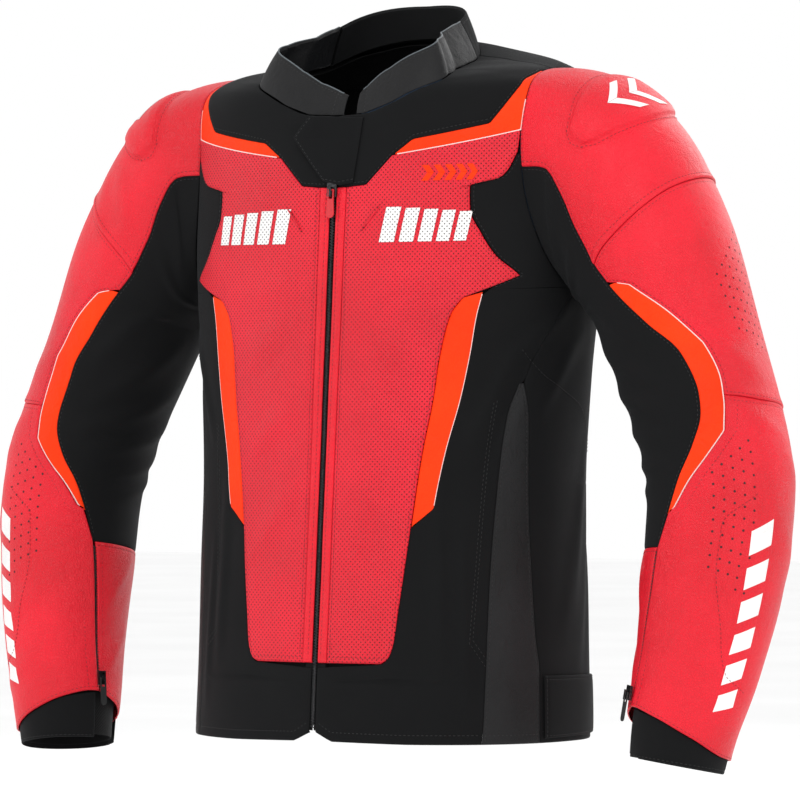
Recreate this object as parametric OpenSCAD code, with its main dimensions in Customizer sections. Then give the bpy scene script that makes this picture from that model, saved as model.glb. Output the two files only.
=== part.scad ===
// Leather riding jacket, stored hanging from its loop.
// Every panel is a thin closed solid cut from one body surface or one sleeve surface.
// +Z is up, -Y is the front, +X is the wearer's left; the origin is in the hanger loop.

/* [Body] */
// Half width of the chest at the armpits
chest_half_w = 206; // [190:2:230]
// Half width of the waist
waist_half_w = 187; // [170:1:215]
// Half width of the hem
hem_half_w = 190; // [175:1:220]
// Half width of the neck hole at the collar seam
neck_half_w = 78; // [68:1:88]
// Height from the hem to the back neck seam
body_len = 650; // [540:2:780]
// Distance from the side plane to the front edge at the neck
front_depth = 107; // [95:1:125]
// How much the straight front edge moves forward for each millimetre down
front_lean = 0.0754; // [0.05:0.001:0.1]
// Distance from the side plane to the shoulder blades
back_depth = 122; // [105:1:140]
// How much lower the neck hole is in front than behind
neck_drop = 56; // [45:1:68]

/* [Sleeves] */
// Height from the shoulder ring's centre down to the cuff's centre
sleeve_drop = 548; // [450:2:660]
// How far the elbow stands out from the shoulder ring
sleeve_reach = 168; // [140:2:200]
// How far the cuff swings forward
sleeve_forward = 66; // [50:1:80]
// Radius of the shoulder ring
armhole_r = 90; // [80:1:100]
// Radius of the cuff
cuff_r = 46; // [40:1:56]
// How far each forearm is rolled about its own length, in degrees
forearm_roll = 15; // [0:1:25]

/* [Leather and lining] */
// Thickness of the leather
leather_t = 1.3; // [1:0.1:1.8]
// Thickness of the stretch cloth
stretch_t = 1.1; // [0.8:0.1:1.8]
// Gap left at each sewn seam
seam_gap = 1.2; // [0.8:0.1:2]
// Depth of the body lining below the outer face
lining_depth = 5; // [4:0.5:8]
// Space between the armour pads and the sleeve lining
lining_room = 2.5; // [1.5:0.5:5]
// Thickness of the lining cloth
lining_t = 0.7; // [0.6:0.1:1.2]
// Thickness of each armour pad
armour_t = 7.5; // [5:0.5:9]

/* [Collar] */
// Height of the collar at the back
collar_back_h = 31; // [24:1:45]
// Height of the collar at the front
collar_front_h = 33; // [24:1:45]
// Thickness of the collar
collar_t = 3; // [2:0.5:5]

/* [Fastenings] */
// Width of each placket beside the zip
placket_w = 10; // [7:1:16]
// Half of the gap between the two plackets
zip_half_gap = 3.2; // [2.6:0.2:5]
// Length of the zip slider
slider_len = 13; // [9:1:18]
// Thickness of the zip slider
slider_t = 2.6; // [2:0.1:3.5]
// Length of a zip pull
pull_len = 26; // [16:1:34]
// Space between parts that slide or turn past each other
running_gap = 0.6; // [0.4:0.1:1]
// Width of the hanger loop's tape
loop_tape_w = 8; // [6:1:12]
// Half length of the hanger loop
loop_half_len = 30; // [22:1:40]

/* [Hidden] */
$fn = 32;

// Colours of the real materials
red_leather = [0.86, 0.09, 0.16];
orange_leather = [1.0, 0.27, 0.08];
black_stretch = [0.09, 0.09, 0.1];
grey_leather = [0.22, 0.22, 0.23];
lining_cloth = [0.03, 0.03, 0.035];
metal = [0.5, 0.5, 0.52];
armour_foam = [0.2, 0.24, 0.3];

// ---- The body surface -------------------------------------------------------
// A section of the body is a rounded box; squareness 2 would be an ellipse.
squareness = 2.35;
chest_z = -90;
front_neck_z = -71;
length_below_chest = body_len - 99;
shoulder_spread = chest_half_w - neck_half_w;
// Rows from the hem (0) up to the back neck seam (10):
// height, half width, back depth, share of the neck drop, front depth correction
BODY_ROWS = [
    [chest_z - length_below_chest, hem_half_w, back_depth - 6, 0, 0],
    [chest_z - 0.77 * length_below_chest, waist_half_w + 1, back_depth - 10, 0.04, 0],
    [chest_z - 0.55 * length_below_chest, waist_half_w, back_depth - 14, 0.1, 0],
    [chest_z - 0.39 * length_below_chest, chest_half_w - 14, back_depth - 8, 0.16, 0],
    [chest_z - 0.254 * length_below_chest, chest_half_w - 7, back_depth - 2, 0.16, 0],
    [chest_z - 0.118 * length_below_chest, chest_half_w - 2, back_depth, 0.18, 0],
    [chest_z, chest_half_w, back_depth - 6, 0.25, 0],
    [-36, neck_half_w + 0.94 * shoulder_spread, back_depth - 22, 0.39, 0],
    [-9, neck_half_w + 0.68 * shoulder_spread, back_depth - 36, 0.61, -7],
    [4, neck_half_w + 0.3 * shoulder_spread, back_depth - 48, 0.82, -12],
    [9, neck_half_w, back_depth - 60, 1, -16]
];

function clamp(x, low, high) = min(max(x, low), high);
function mix(a, b, k) = a + (b - a) * k;
function signed_power(x, p) = sign(x) * pow(abs(x), p);
function unit(v) = v / norm(v);
function ease(k) = let (c = clamp(k, 0, 1)) c * c * (3 - 2 * c);

// Smooth curve through the rows of a table at row number v
function through(rows, v) =
    let (
        last = len(rows) - 1,
        i = floor(clamp(v, 0, last - 0.0001)),
        t = clamp(v, 0, last) - i,
        a = rows[max(i - 1, 0)],
        b = rows[i],
        c = rows[i + 1],
        d = rows[min(i + 2, last)]
    )
    0.5 * (2 * b + (c - a) * t + (2 * a - 5 * b + 4 * c - d) * t * t
        + (3 * b - a - 3 * c + d) * t * t * t);

function front_y(z) = front_depth + front_lean * (front_neck_z - z);

// u is the angle from the front edge towards the wearer's left, v the row number
function body(u, v) =
    let (
        row = through(BODY_ROWS, v),
        front_z = row[0] - row[3] * neck_drop,
        depth = cos(u) > 0 ? front_y(front_z) + row[4] : row[2],
        p = 2 / squareness
    )
    [
        row[1] * signed_power(sin(u), p),
        -depth * signed_power(cos(u), p),
        row[0] - row[3] * neck_drop * (1 + cos(u)) / 2
    ];

// The origin sits in the hanger loop, in front of the lining at the back of the neck
loop_row = 7.8;
loop_room = 6;
loop_standoff = 4.8;
origin = body(180, loop_row) - [0, lining_depth + lining_t + loop_room + loop_standoff, 0];
function torso(u, v) = body(u, v) - origin;

// ---- The armhole and the sleeve surface ------------------------------------
// phi is the angle around the arm: 0 is outside and up, 90 is the front, 180 the armpit
armhole_u = 88;
armhole_v = 6;
armhole_span_u = 34;
armhole_span_v = 1.9;
function armhole_uv(phi) =
    [armhole_u - armhole_span_u * sin(phi), armhole_v + armhole_span_v * cos(phi)];
function armhole(phi) = let (p = armhole_uv(phi)) torso(p[0], p[1]);

// Rows from the shoulder ring (0) to the cuff (10):
// share of the reach, of the forward swing, of the drop, of the radius; extra depth
SLEEVE_ROWS = [
    [0, 0, 0, 1, -4],
    [0.17, -0.02, 0.01, 0.91, -2],
    [0.34, -0.02, 0.07, 0.75, 0],
    [0.55, 0.02, 0.18, 0.66, 0],
    [0.74, 0.1, 0.32, 0.52, 2],
    [0.91, 0.22, 0.45, 0.45, 4],
    [1, 0.34, 0.56, 0.45, 2],
    [0.99, 0.53, 0.7, 0.39, 0],
    [0.95, 0.73, 0.825, 0.23, 1],
    [0.89, 0.91, 0.93, 0.09, 1],
    [0.86, 1, 1, 0, 1]
];
shoulder_ring = [chest_half_w - 24, 2, -108] - origin;
function sleeve_centre(s) =
    let (row = through(SLEEVE_ROWS, s))
    shoulder_ring + [row[0] * sleeve_reach, -row[1] * sleeve_forward, -row[2] * sleeve_drop];
function sleeve_ring(phi, s) =
    let (
        row = through(SLEEVE_ROWS, s),
        radius = mix(cuff_r, armhole_r, row[3]),
        heading = unit(sleeve_centre(min(s + 0.05, 10)) - sleeve_centre(max(s - 0.05, 0))),
        normal = unit(mix(heading, [1, 0, -0.12], clamp(1 - s / 1.5, 0, 1))),
        back = unit([0, 1, 0] - normal * normal[1]),
        outward = cross(normal, back)
    )
    sleeve_centre(s) + outward * radius * cos(phi) - back * (radius + row[4]) * sin(phi);
// The first rows blend into the armhole, and the forearm rolls about its own length.
// Under the arm the cloth runs straight from the armpit to the row where it leaves the body.
shoulder_rows = 2.2;
armpit_rows = 3.4;
function sleeve(phi, s, roll) =
    let (
        turned = phi + roll * ease((s - 3.2) / 1.6),
        start = armhole(turned),
        hold = ease(1 - s / shoulder_rows),
        over = sleeve_ring(turned, s) + hold * (start - sleeve_ring(turned, 0)),
        under = s < armpit_rows ? ease(-1.3 * cos(turned) - 0.1) : 0
    )
    under == 0 ? over
    : mix(over, mix(start, sleeve_ring(turned, armpit_rows), s / armpit_rows), under);

// ---- The collar surface ------------------------------------------------------
// The neck seam runs from the front edge round to the back
NECK = [[0.6, 6.65], [6, 6.68], [13, 6.9], [25, 7.55], [45, 8.7], [70, 9.6], [105, 9.92],
    [140, 10], [180, 10]];
function neck_part(from, to) = [for (p = NECK) if (p[0] >= from && p[0] <= to) p];
function collar(u, h) =
    let (
        turn = abs(u) > 180 ? 360 - abs(u) : abs(u),
        base = torso(u, lookup(turn, NECK)),
        height = lookup(turn, [[0, collar_front_h - 6], [12, collar_front_h],
            [90, collar_front_h + 3], [180, collar_back_h]]),
        lean = lookup(turn, [[0, 0.55], [90, 0.5], [180, 0.12]]),
        centre = [0, (back_depth - 60 - front_depth) / 2 - origin[1], base[2]]
    )
    base + h * height * ([0, 0, 1] + lean * unit(centre - base));

// ---- Panels ------------------------------------------------------------------
function at(surface, p, roll) =
    surface == "torso" ? torso(p[0], p[1])
    : surface == "collar" ? collar(p[0], p[1])
    : sleeve(p[0], p[1], roll);
function outward_at(surface, p, roll) =
    let (du = 1, dv = surface == "collar" ? 0.1 : 0.04)
    unit(cross(
        at(surface, p + [du, 0], roll) - at(surface, p - [du, 0], roll),
        at(surface, p + [0, dv], roll) - at(surface, p - [0, dv], roll)));

// Point of a line at share k of the line's own run along the given axis
function along(line, axis, k, i = 1) =
    let (
        first = line[0][axis],
        span = line[len(line) - 1][axis] - first,
        before = (line[i - 1][axis] - first) / span,
        here = (line[i][axis] - first) / span
    )
    (k <= here || i == len(line) - 1) ? mix(line[i - 1], line[i], (k - before) / (here - before))
    : along(line, axis, k, i + 1);
function corners(line, axis) =
    let (first = line[0][axis], span = line[len(line) - 1][axis] - first)
    [for (p = line) (p[axis] - first) / span];
function sorted(list) =
    len(list) < 2 ? list
    : concat(sorted([for (x = list) if (x < list[0]) x]), [list[0]],
        sorted([for (x = list) if (x > list[0]) x]));
// Shares at which both opposite edges are cut, never further apart than step
function stops(one, other, axis, step) =
    let (
        raw = sorted(concat(corners(one, axis), corners(other, axis))),
        last = len(raw) - 1,
        apart = 0.0012,
        clean = [for (i = [0:last]) if (i == 0 || i == last
            || (raw[i] - raw[i - 1] > apart && 1 - raw[i] > apart)) raw[i]]
    )
    [
        for (i = [0:len(clean) - 2])
            let (n = ceil((clean[i + 1] - clean[i]) / step))
            for (j = [0:n - 1]) mix(clean[i], clean[i + 1], j / n),
        1
    ];

// A panel fills the space between four seam lines given in surface coordinates.
// left and right run upwards, bottom and top run from left to right.
// above and below are the offsets of its two faces from the surface.
module panel(surface, left, right, bottom, top, columns, rows, above, below, roll = 0,
        gap = seam_gap) {
    across = stops(bottom, top, 0, 1 / columns);
    up = stops(left, right, 1, 1 / rows);
    nu = len(across);
    nv = len(up);
    function patch(s, t) =
        (1 - s) * along(left, 1, t) + s * along(right, 1, t)
        + (1 - t) * along(bottom, 0, s) + t * along(top, 0, s)
        - (1 - s) * (1 - t) * left[0] - s * (1 - t) * right[0]
        - (1 - s) * t * left[len(left) - 1] - s * t * right[len(right) - 1];
    function distance(a, b) = norm(at(surface, a, roll) - at(surface, b, roll));
    function inset(length) = clamp(gap / 2 / max(length, 0.1), 0, 0.35);
    params = [
        for (t = up) for (s = across)
            let (
                es = inset(distance(along(left, 1, t), along(right, 1, t))),
                et = inset(distance(along(bottom, 0, s), along(top, 0, s)))
            )
            patch(mix(es, 1 - es, s), mix(et, 1 - et, t))
    ];
    normals = [for (p = params) outward_at(surface, p, roll)];
    outer = [for (i = [0:len(params) - 1]) at(surface, params[i], roll) + normals[i] * above];
    inner = [for (i = [0:len(params) - 1]) at(surface, params[i], roll) + normals[i] * below];
    deep = nu * nv;
    function cell(i, j) = j * nu + i;
    faces = [
        for (j = [0:nv - 2]) for (i = [0:nu - 2]) each [
            [cell(i, j), cell(i + 1, j + 1), cell(i + 1, j)],
            [cell(i, j), cell(i, j + 1), cell(i + 1, j + 1)],
            [deep + cell(i, j), deep + cell(i + 1, j), deep + cell(i + 1, j + 1)],
            [deep + cell(i, j), deep + cell(i + 1, j + 1), deep + cell(i, j + 1)]
        ],
        for (i = [0:nu - 2]) each [
            [cell(i, 0), cell(i + 1, 0), deep + cell(i + 1, 0)],
            [cell(i, 0), deep + cell(i + 1, 0), deep + cell(i, 0)],
            [cell(i + 1, nv - 1), cell(i, nv - 1), deep + cell(i, nv - 1)],
            [cell(i + 1, nv - 1), deep + cell(i, nv - 1), deep + cell(i + 1, nv - 1)]
        ],
        for (j = [0:nv - 2]) each [
            [cell(0, j + 1), cell(0, j), deep + cell(0, j)],
            [cell(0, j + 1), deep + cell(0, j), deep + cell(0, j + 1)],
            [cell(nu - 1, j), cell(nu - 1, j + 1), deep + cell(nu - 1, j + 1)],
            [cell(nu - 1, j), deep + cell(nu - 1, j + 1), deep + cell(nu - 1, j)]
        ]
    ];
    polyhedron(points = concat(outer, inner), faces = faces, convexity = 6);
}
module mirrored_for(side) {
    if (side < 0) {
        mirror([1, 0, 0]) children();
    } else {
        children();
    }
}
module both_sides() {
    for (side = [1, -1]) mirrored_for(side) children();
}
function line(from, to) = [from, to];
function reversed(list) = [for (i = [len(list) - 1:-1:0]) list[i]];
function opposite(list) = reversed([for (p = list) [360 - p[0], p[1]]]);

// ---- Seam lines of the body ----------------------------------------------------
// The angle at which the body is x wide of the middle of the front
function front_angle(x) = asin(pow(x / (chest_half_w - 10), squareness / 2));
zip_u = front_angle(zip_half_gap);
placket_u = front_angle(zip_half_gap + placket_w);
panel_foot = 0.62;
panel_top = 5.44;
yoke_point = [13.5, 5.92];
chest_phi = 82;
strip_phi = 14;
strip_end = armhole_uv(strip_phi) + [0, 0.06];
armpit_uv = armhole_uv(180);
back_phi = -40;
side_row = 4.09;

YOKE_FOOT = [[7, 5.47], yoke_point, [19, 6.18], [43, 6.4], [57, 7.2], [64, 7.56],
    [72, 7.76]];
SHOULDER_SEAM = [armhole_uv(0), [91, 8.7], [97, 9.25], [105, 9.92]];
FRONT_ARM = [for (i = [0:4]) armhole_uv(mix(chest_phi, strip_phi, i / 4))];
PANEL_EDGE = [[18, panel_foot], [21, 0.75], [25, 1.6], [28, 2.3], [30, 2.8], [31, 3.25],
    [33.5, 3.8], [37, 4], [57, 4.25], [47, 4.5], [41, 4.8], [37.5, 5.05], [36.8, 5.42], [47, 5.52]];
STRIP_EDGE = [[32, 1.72], [35, 2.2], [39, 2.8], [41, 3.3], [42, 3.75], [43.5, 4.05]];
INSERT_FRONT = [[50, 0], [51, 0.6], [52, 1.2], [54, 1.8], [57, 2.6], [61, 2.95]];
INSERT_BACK = [[73, 0], [73, 0.55], [71, 0.8], [68, 1.6], [66, 2.55], [63, 2.95]];
UNDERARM = [[63, 2.96], [66, 3.2], [80, 3.9], armpit_uv];
BACK_ARM = [for (phi = [-166.5:11.5:-51.5]) armhole_uv(phi)];
BACK_EDGE = [[146, panel_foot], [143, 1.6], [139, 3], [137, 4.2], [134, 5.6], [128, 6.7],
    [124, 7.32]];
YOKE_BACK_FOOT = [armhole_uv(0), armhole_uv(-20), armhole_uv(back_phi), [124, 7.32],
    [150, 7.14], [180, 7.08]];
STRIP_BACK = [[131, 1.9], [129, 3.2], [128, 4.5], [127, 5.6], [124, 6.35]];

// ---- Torso panels --------------------------------------------------------------
module front_panel(side) {
    color(red_leather) mirrored_for(side)
        panel("torso", line([placket_u, panel_foot], [placket_u, panel_top]),
            concat(PANEL_EDGE, [[53, 5.9], armhole_uv(chest_phi)]),
            line([placket_u, panel_foot], PANEL_EDGE[0]),
            concat([[placket_u, panel_top], [7, 5.47], yoke_point], [armhole_uv(chest_phi)]),
            5, 12, 0, -leather_t);
}
module placket(side) {
    color(red_leather) mirrored_for(side)
        panel("torso", line([zip_u, panel_foot], [zip_u, panel_top]),
            line([placket_u, panel_foot], [placket_u, panel_top]),
            line([zip_u, panel_foot], [placket_u, panel_foot]),
            line([zip_u, panel_top], [placket_u, panel_top]),
            1, 14, 0, -leather_t, gap = 0.8);
}
module chest_strips() {
    // The tip starts a little way along, where the strip is wide enough to be sewn
    tip_share = 0.75;
    tip = mix(yoke_point, YOKE_FOOT[2], tip_share);
    foot = [tip[0], mix(yoke_point, FRONT_ARM[0],
        (tip[0] - yoke_point[0]) / (FRONT_ARM[0][0] - yoke_point[0]))[1]];
    color(orange_leather) both_sides()
        panel("torso", line(foot, tip), line(FRONT_ARM[4], strip_end), concat([foot], FRONT_ARM),
            concat([tip], [for (i = [2:6]) YOKE_FOOT[i]], [strip_end]), 8, 2, 0, -leather_t);
}
module side_strips() {
    foot = [25, 1.58];
    color(orange_leather) both_sides()
        panel("torso", concat([foot], [for (i = [3:7]) PANEL_EDGE[i]]), STRIP_EDGE,
            line(foot, STRIP_EDGE[0]), line(PANEL_EDGE[7], STRIP_EDGE[5]),
            1, 10, 0, -leather_t);
}
module back_strips() {
    head = [129.2, 6.5];
    foot = [142.2, 1.86];
    color(orange_leather) both_sides()
        panel("torso", STRIP_BACK, [foot, [139, 3], [137, 4.2], [134, 5.6], head],
            line(STRIP_BACK[0], foot), line(STRIP_BACK[4], head), 1, 8, 0, -leather_t);
}
module yoke_front(side) {
    color(black_stretch) mirrored_for(side)
        panel("torso", line([zip_u, panel_top + 0.01], NECK[0]), SHOULDER_SEAM,
            concat([[zip_u, panel_top + 0.01]], YOKE_FOOT, [strip_end, armhole_uv(0)]),
            neck_part(0, 105), 10, 4, 0, -stretch_t);
}
module yoke_back() {
    foot = concat(YOKE_BACK_FOOT, opposite([for (i = [0:4]) YOKE_BACK_FOOT[i]]));
    head = concat(neck_part(105, 180), opposite(neck_part(105, 140)));
    color(black_stretch)
        panel("torso", SHOULDER_SEAM, [for (p = SHOULDER_SEAM) [360 - p[0], p[1]]],
            foot, head, 12, 5, 0, -stretch_t);
}
module back_panel() {
    foot = line(BACK_EDGE[0], [214, panel_foot]);
    head = concat([for (i = [3:5]) YOKE_BACK_FOOT[i]],
        opposite([for (i = [3:4]) YOKE_BACK_FOOT[i]]));
    color(red_leather)
        panel("torso", BACK_EDGE, [for (p = BACK_EDGE) [360 - p[0], p[1]]],
            foot, head, 8, 12, 0, -leather_t);
}
module back_lower() {
    color(black_stretch)
        panel("torso", line([146, 0], [146, panel_foot]), line([214, 0], [214, panel_foot]),
            line([146, 0], [214, 0]), line([146, panel_foot], [214, panel_foot]),
            6, 3, 0, -stretch_t);
}
module front_lower(side) {
    edge = concat([[zip_u, 0.12], [zip_u, panel_foot - 0.02], [18.6, panel_foot - 0.012]],
        [[21, 0.75], [25, 1.57]], [for (i = [0:4]) STRIP_EDGE[i]], [[46, side_row]]);
    far_edge = concat(INSERT_FRONT, [for (i = [0:2]) UNDERARM[i]], [[armhole_u, side_row]]);
    color(black_stretch) mirrored_for(side)
        panel("torso", edge, far_edge, concat([[zip_u, 0.12], [4, 0.02]], line([25, 0], [50, 0])),
            line([46, side_row], [armhole_u, side_row]), 6, 14, 0, -stretch_t);
}
module chest_sides() {
    edge = [[46, side_row], [58, 4.245], [48, 4.51], [42, 4.81], [38.4, 5.06], [37.7, 5.41],
        [47.6, 5.505], armhole_uv(chest_phi + 16)];
    arm = [for (phi = [180:-12:108]) armhole_uv(phi)];
    color(black_stretch) both_sides()
        panel("torso", edge, concat(arm, [armhole_uv(chest_phi + 16) + [2, 0.02]]),
            line([46, side_row], arm[0]), line(edge[7], edge[7] + [2, 0.02]),
            4, 6, 0, -stretch_t);
}
module side_insert(side) {
    color(grey_leather) mirrored_for(side)
        panel("torso", INSERT_FRONT, INSERT_BACK, line([50, 0], [73, 0]),
            line(INSERT_FRONT[5], INSERT_BACK[5]), 2, 8, 0, -leather_t);
}
module side_back(side) {
    edge = concat(INSERT_BACK, [for (i = [1:3]) UNDERARM[i]], BACK_ARM,
        [armhole_uv(back_phi)]);
    far_edge = concat([[146, 0], [146, panel_foot], [142.2, 1.85]], STRIP_BACK,
        [[128.6, 6.6], [124, 7.32]]);
    color(black_stretch) mirrored_for(side)
        panel("torso", edge, far_edge, line([73, 0], [146, 0]),
            line(armhole_uv(back_phi), [124, 7.32]), 6, 14, 0, -stretch_t);
}

// ---- Collar ----------------------------------------------------------------------
collar_seam = 98;
collar_open_left = 4;
collar_open_right = -1.2;
module collar_piece(from, to, foot, sink, columns) {
    // The free front corners are cut low so that they can be rounded
    start_top = from < 90 ? 0.75 : 1;
    end_top = to > 270 ? 0.75 : 1;
    step_in = 7;
    top = concat(
        [[from, start_top]], from < 90 ? [[from + step_in, 1]] : [],
        to > 270 ? [[to - step_in, 1]] : [], [[to, end_top]]);
    panel("collar", line([from, foot], [from, start_top]),
        line([to, foot], [to, end_top]), line([from, foot], [to, foot]),
        top, columns, 2, -sink, -sink - collar_t);
}
module collar_back() {
    color(black_stretch) collar_piece(collar_seam, 360 - collar_seam, -0.05, 1, 14);
}
module collar_front(side) {
    start = side > 0 ? collar_open_left : collar_open_right;
    color(grey_leather) mirrored_for(side) collar_piece(start, collar_seam, 0.04, 0, 12);
}

// ---- Inside of the body -------------------------------------------------------------
pad_room = 2.5;
module torso_lining() {
    side_arm = concat([[armhole_u, 0.12]],
        [for (phi = [180:-30:0]) armhole_uv(phi)], [for (i = [1:3]) SHOULDER_SEAM[i]]);
    back_arm = concat([[armhole_u, 0.12]],
        [for (phi = [-180:30:0]) armhole_uv(phi)], [for (i = [1:3]) SHOULDER_SEAM[i]]);
    back_head = concat(neck_part(105, 180), opposite(neck_part(105, 140)));
    inner = -lining_depth - lining_t;
    color(lining_cloth) {
        both_sides()
            panel("torso", line([placket_u, 0.12], [placket_u, 6.66]), side_arm,
                line([placket_u, 0.12], [armhole_u, 0.12]),
                concat([[placket_u, 6.66]], neck_part(6, 105)), 9, 12, -lining_depth, inner,
                gap = 3);
        panel("torso", back_arm, [for (p = back_arm) [360 - p[0], p[1]]],
            line([armhole_u, 0.12], [360 - armhole_u, 0.12]), back_head, 14, 12,
            -lining_depth, inner, gap = 3);
    }
}
module back_pad() {
    face = -lining_depth - lining_t - pad_room;
    color(armour_foam)
        panel("torso", [[162, 2.2], [154, 4], [154, 6.3], [166, 7.4]],
            [[198, 2.2], [206, 4], [206, 6.3], [194, 7.4]], line([162, 2.2], [198, 2.2]),
            line([166, 7.4], [194, 7.4]), 4, 8, face, face - armour_t);
}
module hanger_loop() {
    tape_t = 1.2;
    bulge = 12;
    bow_r = (loop_half_len * loop_half_len + bulge * bulge) / (2 * bulge);
    color(lining_cloth)
        translate([0, bow_r - loop_room, -loop_tape_w / 2])
            linear_extrude(height = loop_tape_w)
                intersection() {
                    difference() {
                        circle(r = bow_r + tape_t, $fn = 96);
                        circle(r = bow_r, $fn = 96);
                    }
                    translate([-loop_half_len, -bow_r - 2 * tape_t])
                        square([2 * loop_half_len, bulge + tape_t]);
                }
}
module connection_zip() {
    face = -lining_depth - lining_t - pad_room;
    color(metal)
        panel("torso", line([150, 0.24], [150, 0.36]), line([210, 0.24], [210, 0.36]),
            line([150, 0.24], [210, 0.24]), line([150, 0.36], [210, 0.36]), 8, 1,
            face, face - 2.5);
}

// ---- Main zip -------------------------------------------------------------------------
// A frame that rides the straight front edge: +Z up along it, -Y out of the jacket
zip_line_tilt = atan(front_lean);
module on_front(z, out = 0) {
    y = -front_y(z + origin[2]) - origin[1];
    translate([0, y, z]) rotate([-zip_line_tilt, 0, 0]) translate([0, -out, 0]) children();
}
slider_drop = 68;
slider_z = front_neck_z - slider_drop - origin[2];
module main_zip_tapes() {
    tape_u = front_angle(zip_half_gap + placket_w - 2);
    tooth_u = front_angle(zip_half_gap - 1);
    depth = leather_t + 0.5;
    color(metal) {
        both_sides()
            panel("torso", line([tooth_u, 0.2], [tooth_u, 6.5]),
                line([tape_u, 0.2], [tape_u, 6.5]), line([tooth_u, 0.2], [tape_u, 0.2]),
                line([tooth_u, 6.5], [tape_u, 6.5]), 1, 14, -depth, -depth - 0.8, gap = 0.6);
        panel("torso", line([-tooth_u, 0.2], [-tooth_u, 6.5]),
            line([tooth_u, 0.2], [tooth_u, 6.5]), line([-tooth_u, 0.2], [tooth_u, 0.2]),
            line([-tooth_u, 6.5], [tooth_u, 6.5]), 2, 14, -0.4, -depth - 0.8, gap = 0.6);
    }
}
// The pull's head bar turns inside the arch on the slider
arch_room = 2.2;
arch_t = 1;
arch_w = 2.4;
arch_top = 2.6;
arch_foot = -6.4;
arch_leg = 1.4;
pull_t = 1.2;
head_top = 0.4;
head_bar = 1.4;
slot_len = 7.5;
slot_room = 0.7;
pull_out = slider_t + 0.4;
module slider_body(width) {
    translate([-width / 2, -slider_t, -slider_len / 2]) cube([width, slider_t, slider_len]);
    for (foot = [arch_foot, arch_top - arch_leg])
        translate([-arch_w / 2, -slider_t - arch_room - arch_t, foot])
            cube([arch_w, arch_room + arch_t, arch_leg]);
    translate([-arch_w / 2, -slider_t - arch_room - arch_t, arch_foot])
        cube([arch_w, arch_t, arch_top - arch_foot]);
}
module pull_tab(width) {
    slot_w = arch_w + 2 * slot_room;
    head_w = max(width * 0.8, slot_w + 2.4);
    rotate([90, 0, 0])
        linear_extrude(height = pull_t)
            difference() {
                union() {
                    translate([-head_w / 2, -slot_len - 3])
                        square([head_w, slot_len + 3 + head_top]);
                    hull() {
                        translate([-head_w / 2, -slot_len - 3]) square([head_w, 1]);
                        translate([0, -pull_len + width / 2]) circle(d = width);
                    }
                }
                translate([-slot_w / 2, head_top - head_bar - slot_len])
                    square([slot_w, slot_len]);
            }
}
module main_zip_slider() {
    color(metal) on_front(slider_z, running_gap) slider_body(10);
}
module main_zip_pull() {
    color(red_leather) on_front(slider_z, running_gap + pull_out) pull_tab(8);
}

// ---- Flap and waist tabs -----------------------------------------------------------------
flap_out = 8.5;
flap_lift = 1.5;
module neck_flap() {
    color(black_stretch)
        panel("torso", [[-1, 5.52], [-8.5, 6.25], [-4.5, 6.64]], [[4, 5.5], [6, 6.6]],
            [[-1, 5.52], [1.5, 5.46], [4, 5.5]], line([-4.5, 6.64], [6, 6.6]),
            3, 4, flap_out + flap_lift, flap_out);
}
module waist_tab(side) {
    color(black_stretch) mirrored_for(side)
        panel("torso", line([74.5, 0.06], [74.5, 0.54]), [[118, 0.1], [121, 0.3], [118, 0.5]],
            line([74.5, 0.06], [118, 0.1]), line([74.5, 0.54], [118, 0.5]), 5, 2, 3.6, 1.4);
}

// ---- Seam lines of the sleeve ------------------------------------------------------------
armour_room = 2.7;
sleeve_lining_depth = leather_t + armour_room + armour_t + lining_room;
sleeve_start = 0.1;
arm_seam = 2.5;
arm_seam_front = 2.87;
elbow_seam = 4.9;
stretch_end = 6.75;
zip_foot = 8.95;
BACK_LINE = [[-100, sleeve_start], [-100, arm_seam], [-112, 3.6], [-122, elbow_seam], [-132, 5.9],
    [-140, stretch_end], [-145, 9.3]];
STRETCH_FRONT = [[100, sleeve_start], [99, 0.9], [103, 1.8], [107, 2.3], [108, arm_seam_front],
    [105, 3.2], [91, 3.8], [79, 4.3], [78, 4.7], [81, 5.05], [93, 5.45], [110, 5.9],
    [122, 6.35], [131, stretch_end]];
STRIP_OUTER = [[89, 3.35], [71, 3.8], [60, 4.25], [58, 4.6], [60, elbow_seam],
    [66, 5.35], [86, 5.7], [100, 5.95], [115, 6.3]];
ZIP_LINE = [[131, stretch_end], [134, 7.1], [148, zip_foot]];
CUFF_LINE = [[-145, 9.3], [-60, 9.6], [15, 9.55], [70, 9.25], [107, 9.05], [142, 8.95]];
function roll_of(side) = -side * forearm_roll;

module sleeve_panel(side, left, right, bottom, top, columns, rows, above, below,
        gap = seam_gap) {
    mirrored_for(side)
        panel("sleeve", left, right, bottom, top, columns, rows, above, below, roll_of(side),
            gap);
}
module shoulder_panel(side) {
    color(red_leather)
        sleeve_panel(side, [BACK_LINE[0], BACK_LINE[1]],
            [for (i = [0:4]) STRETCH_FRONT[i]], line(BACK_LINE[0], STRETCH_FRONT[0]),
            line(BACK_LINE[1], STRETCH_FRONT[4]), 16, 5, 0, -leather_t);
}
module upper_arm_panel(side) {
    color(red_leather)
        sleeve_panel(side, [for (i = [1:3]) BACK_LINE[i]],
            concat([[108, arm_seam_front], [105, 3.2]], [for (i = [0:4]) STRIP_OUTER[i]]),
            line([-100, arm_seam], [108, arm_seam_front]),
            line([-122, elbow_seam], [60, elbow_seam]), 11, 5, 0, -leather_t);
}
module forearm_panel(side) {
    color(red_leather)
        sleeve_panel(side, [for (i = [3:6]) BACK_LINE[i]],
            concat([for (i = [4:8]) STRIP_OUTER[i]], [[122, 6.35]], ZIP_LINE),
            line([-122, elbow_seam], [60, elbow_seam]),
            concat([for (i = [0:4]) CUFF_LINE[i]], [[148, zip_foot]]), 11, 8, 0, -leather_t);
}
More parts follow.
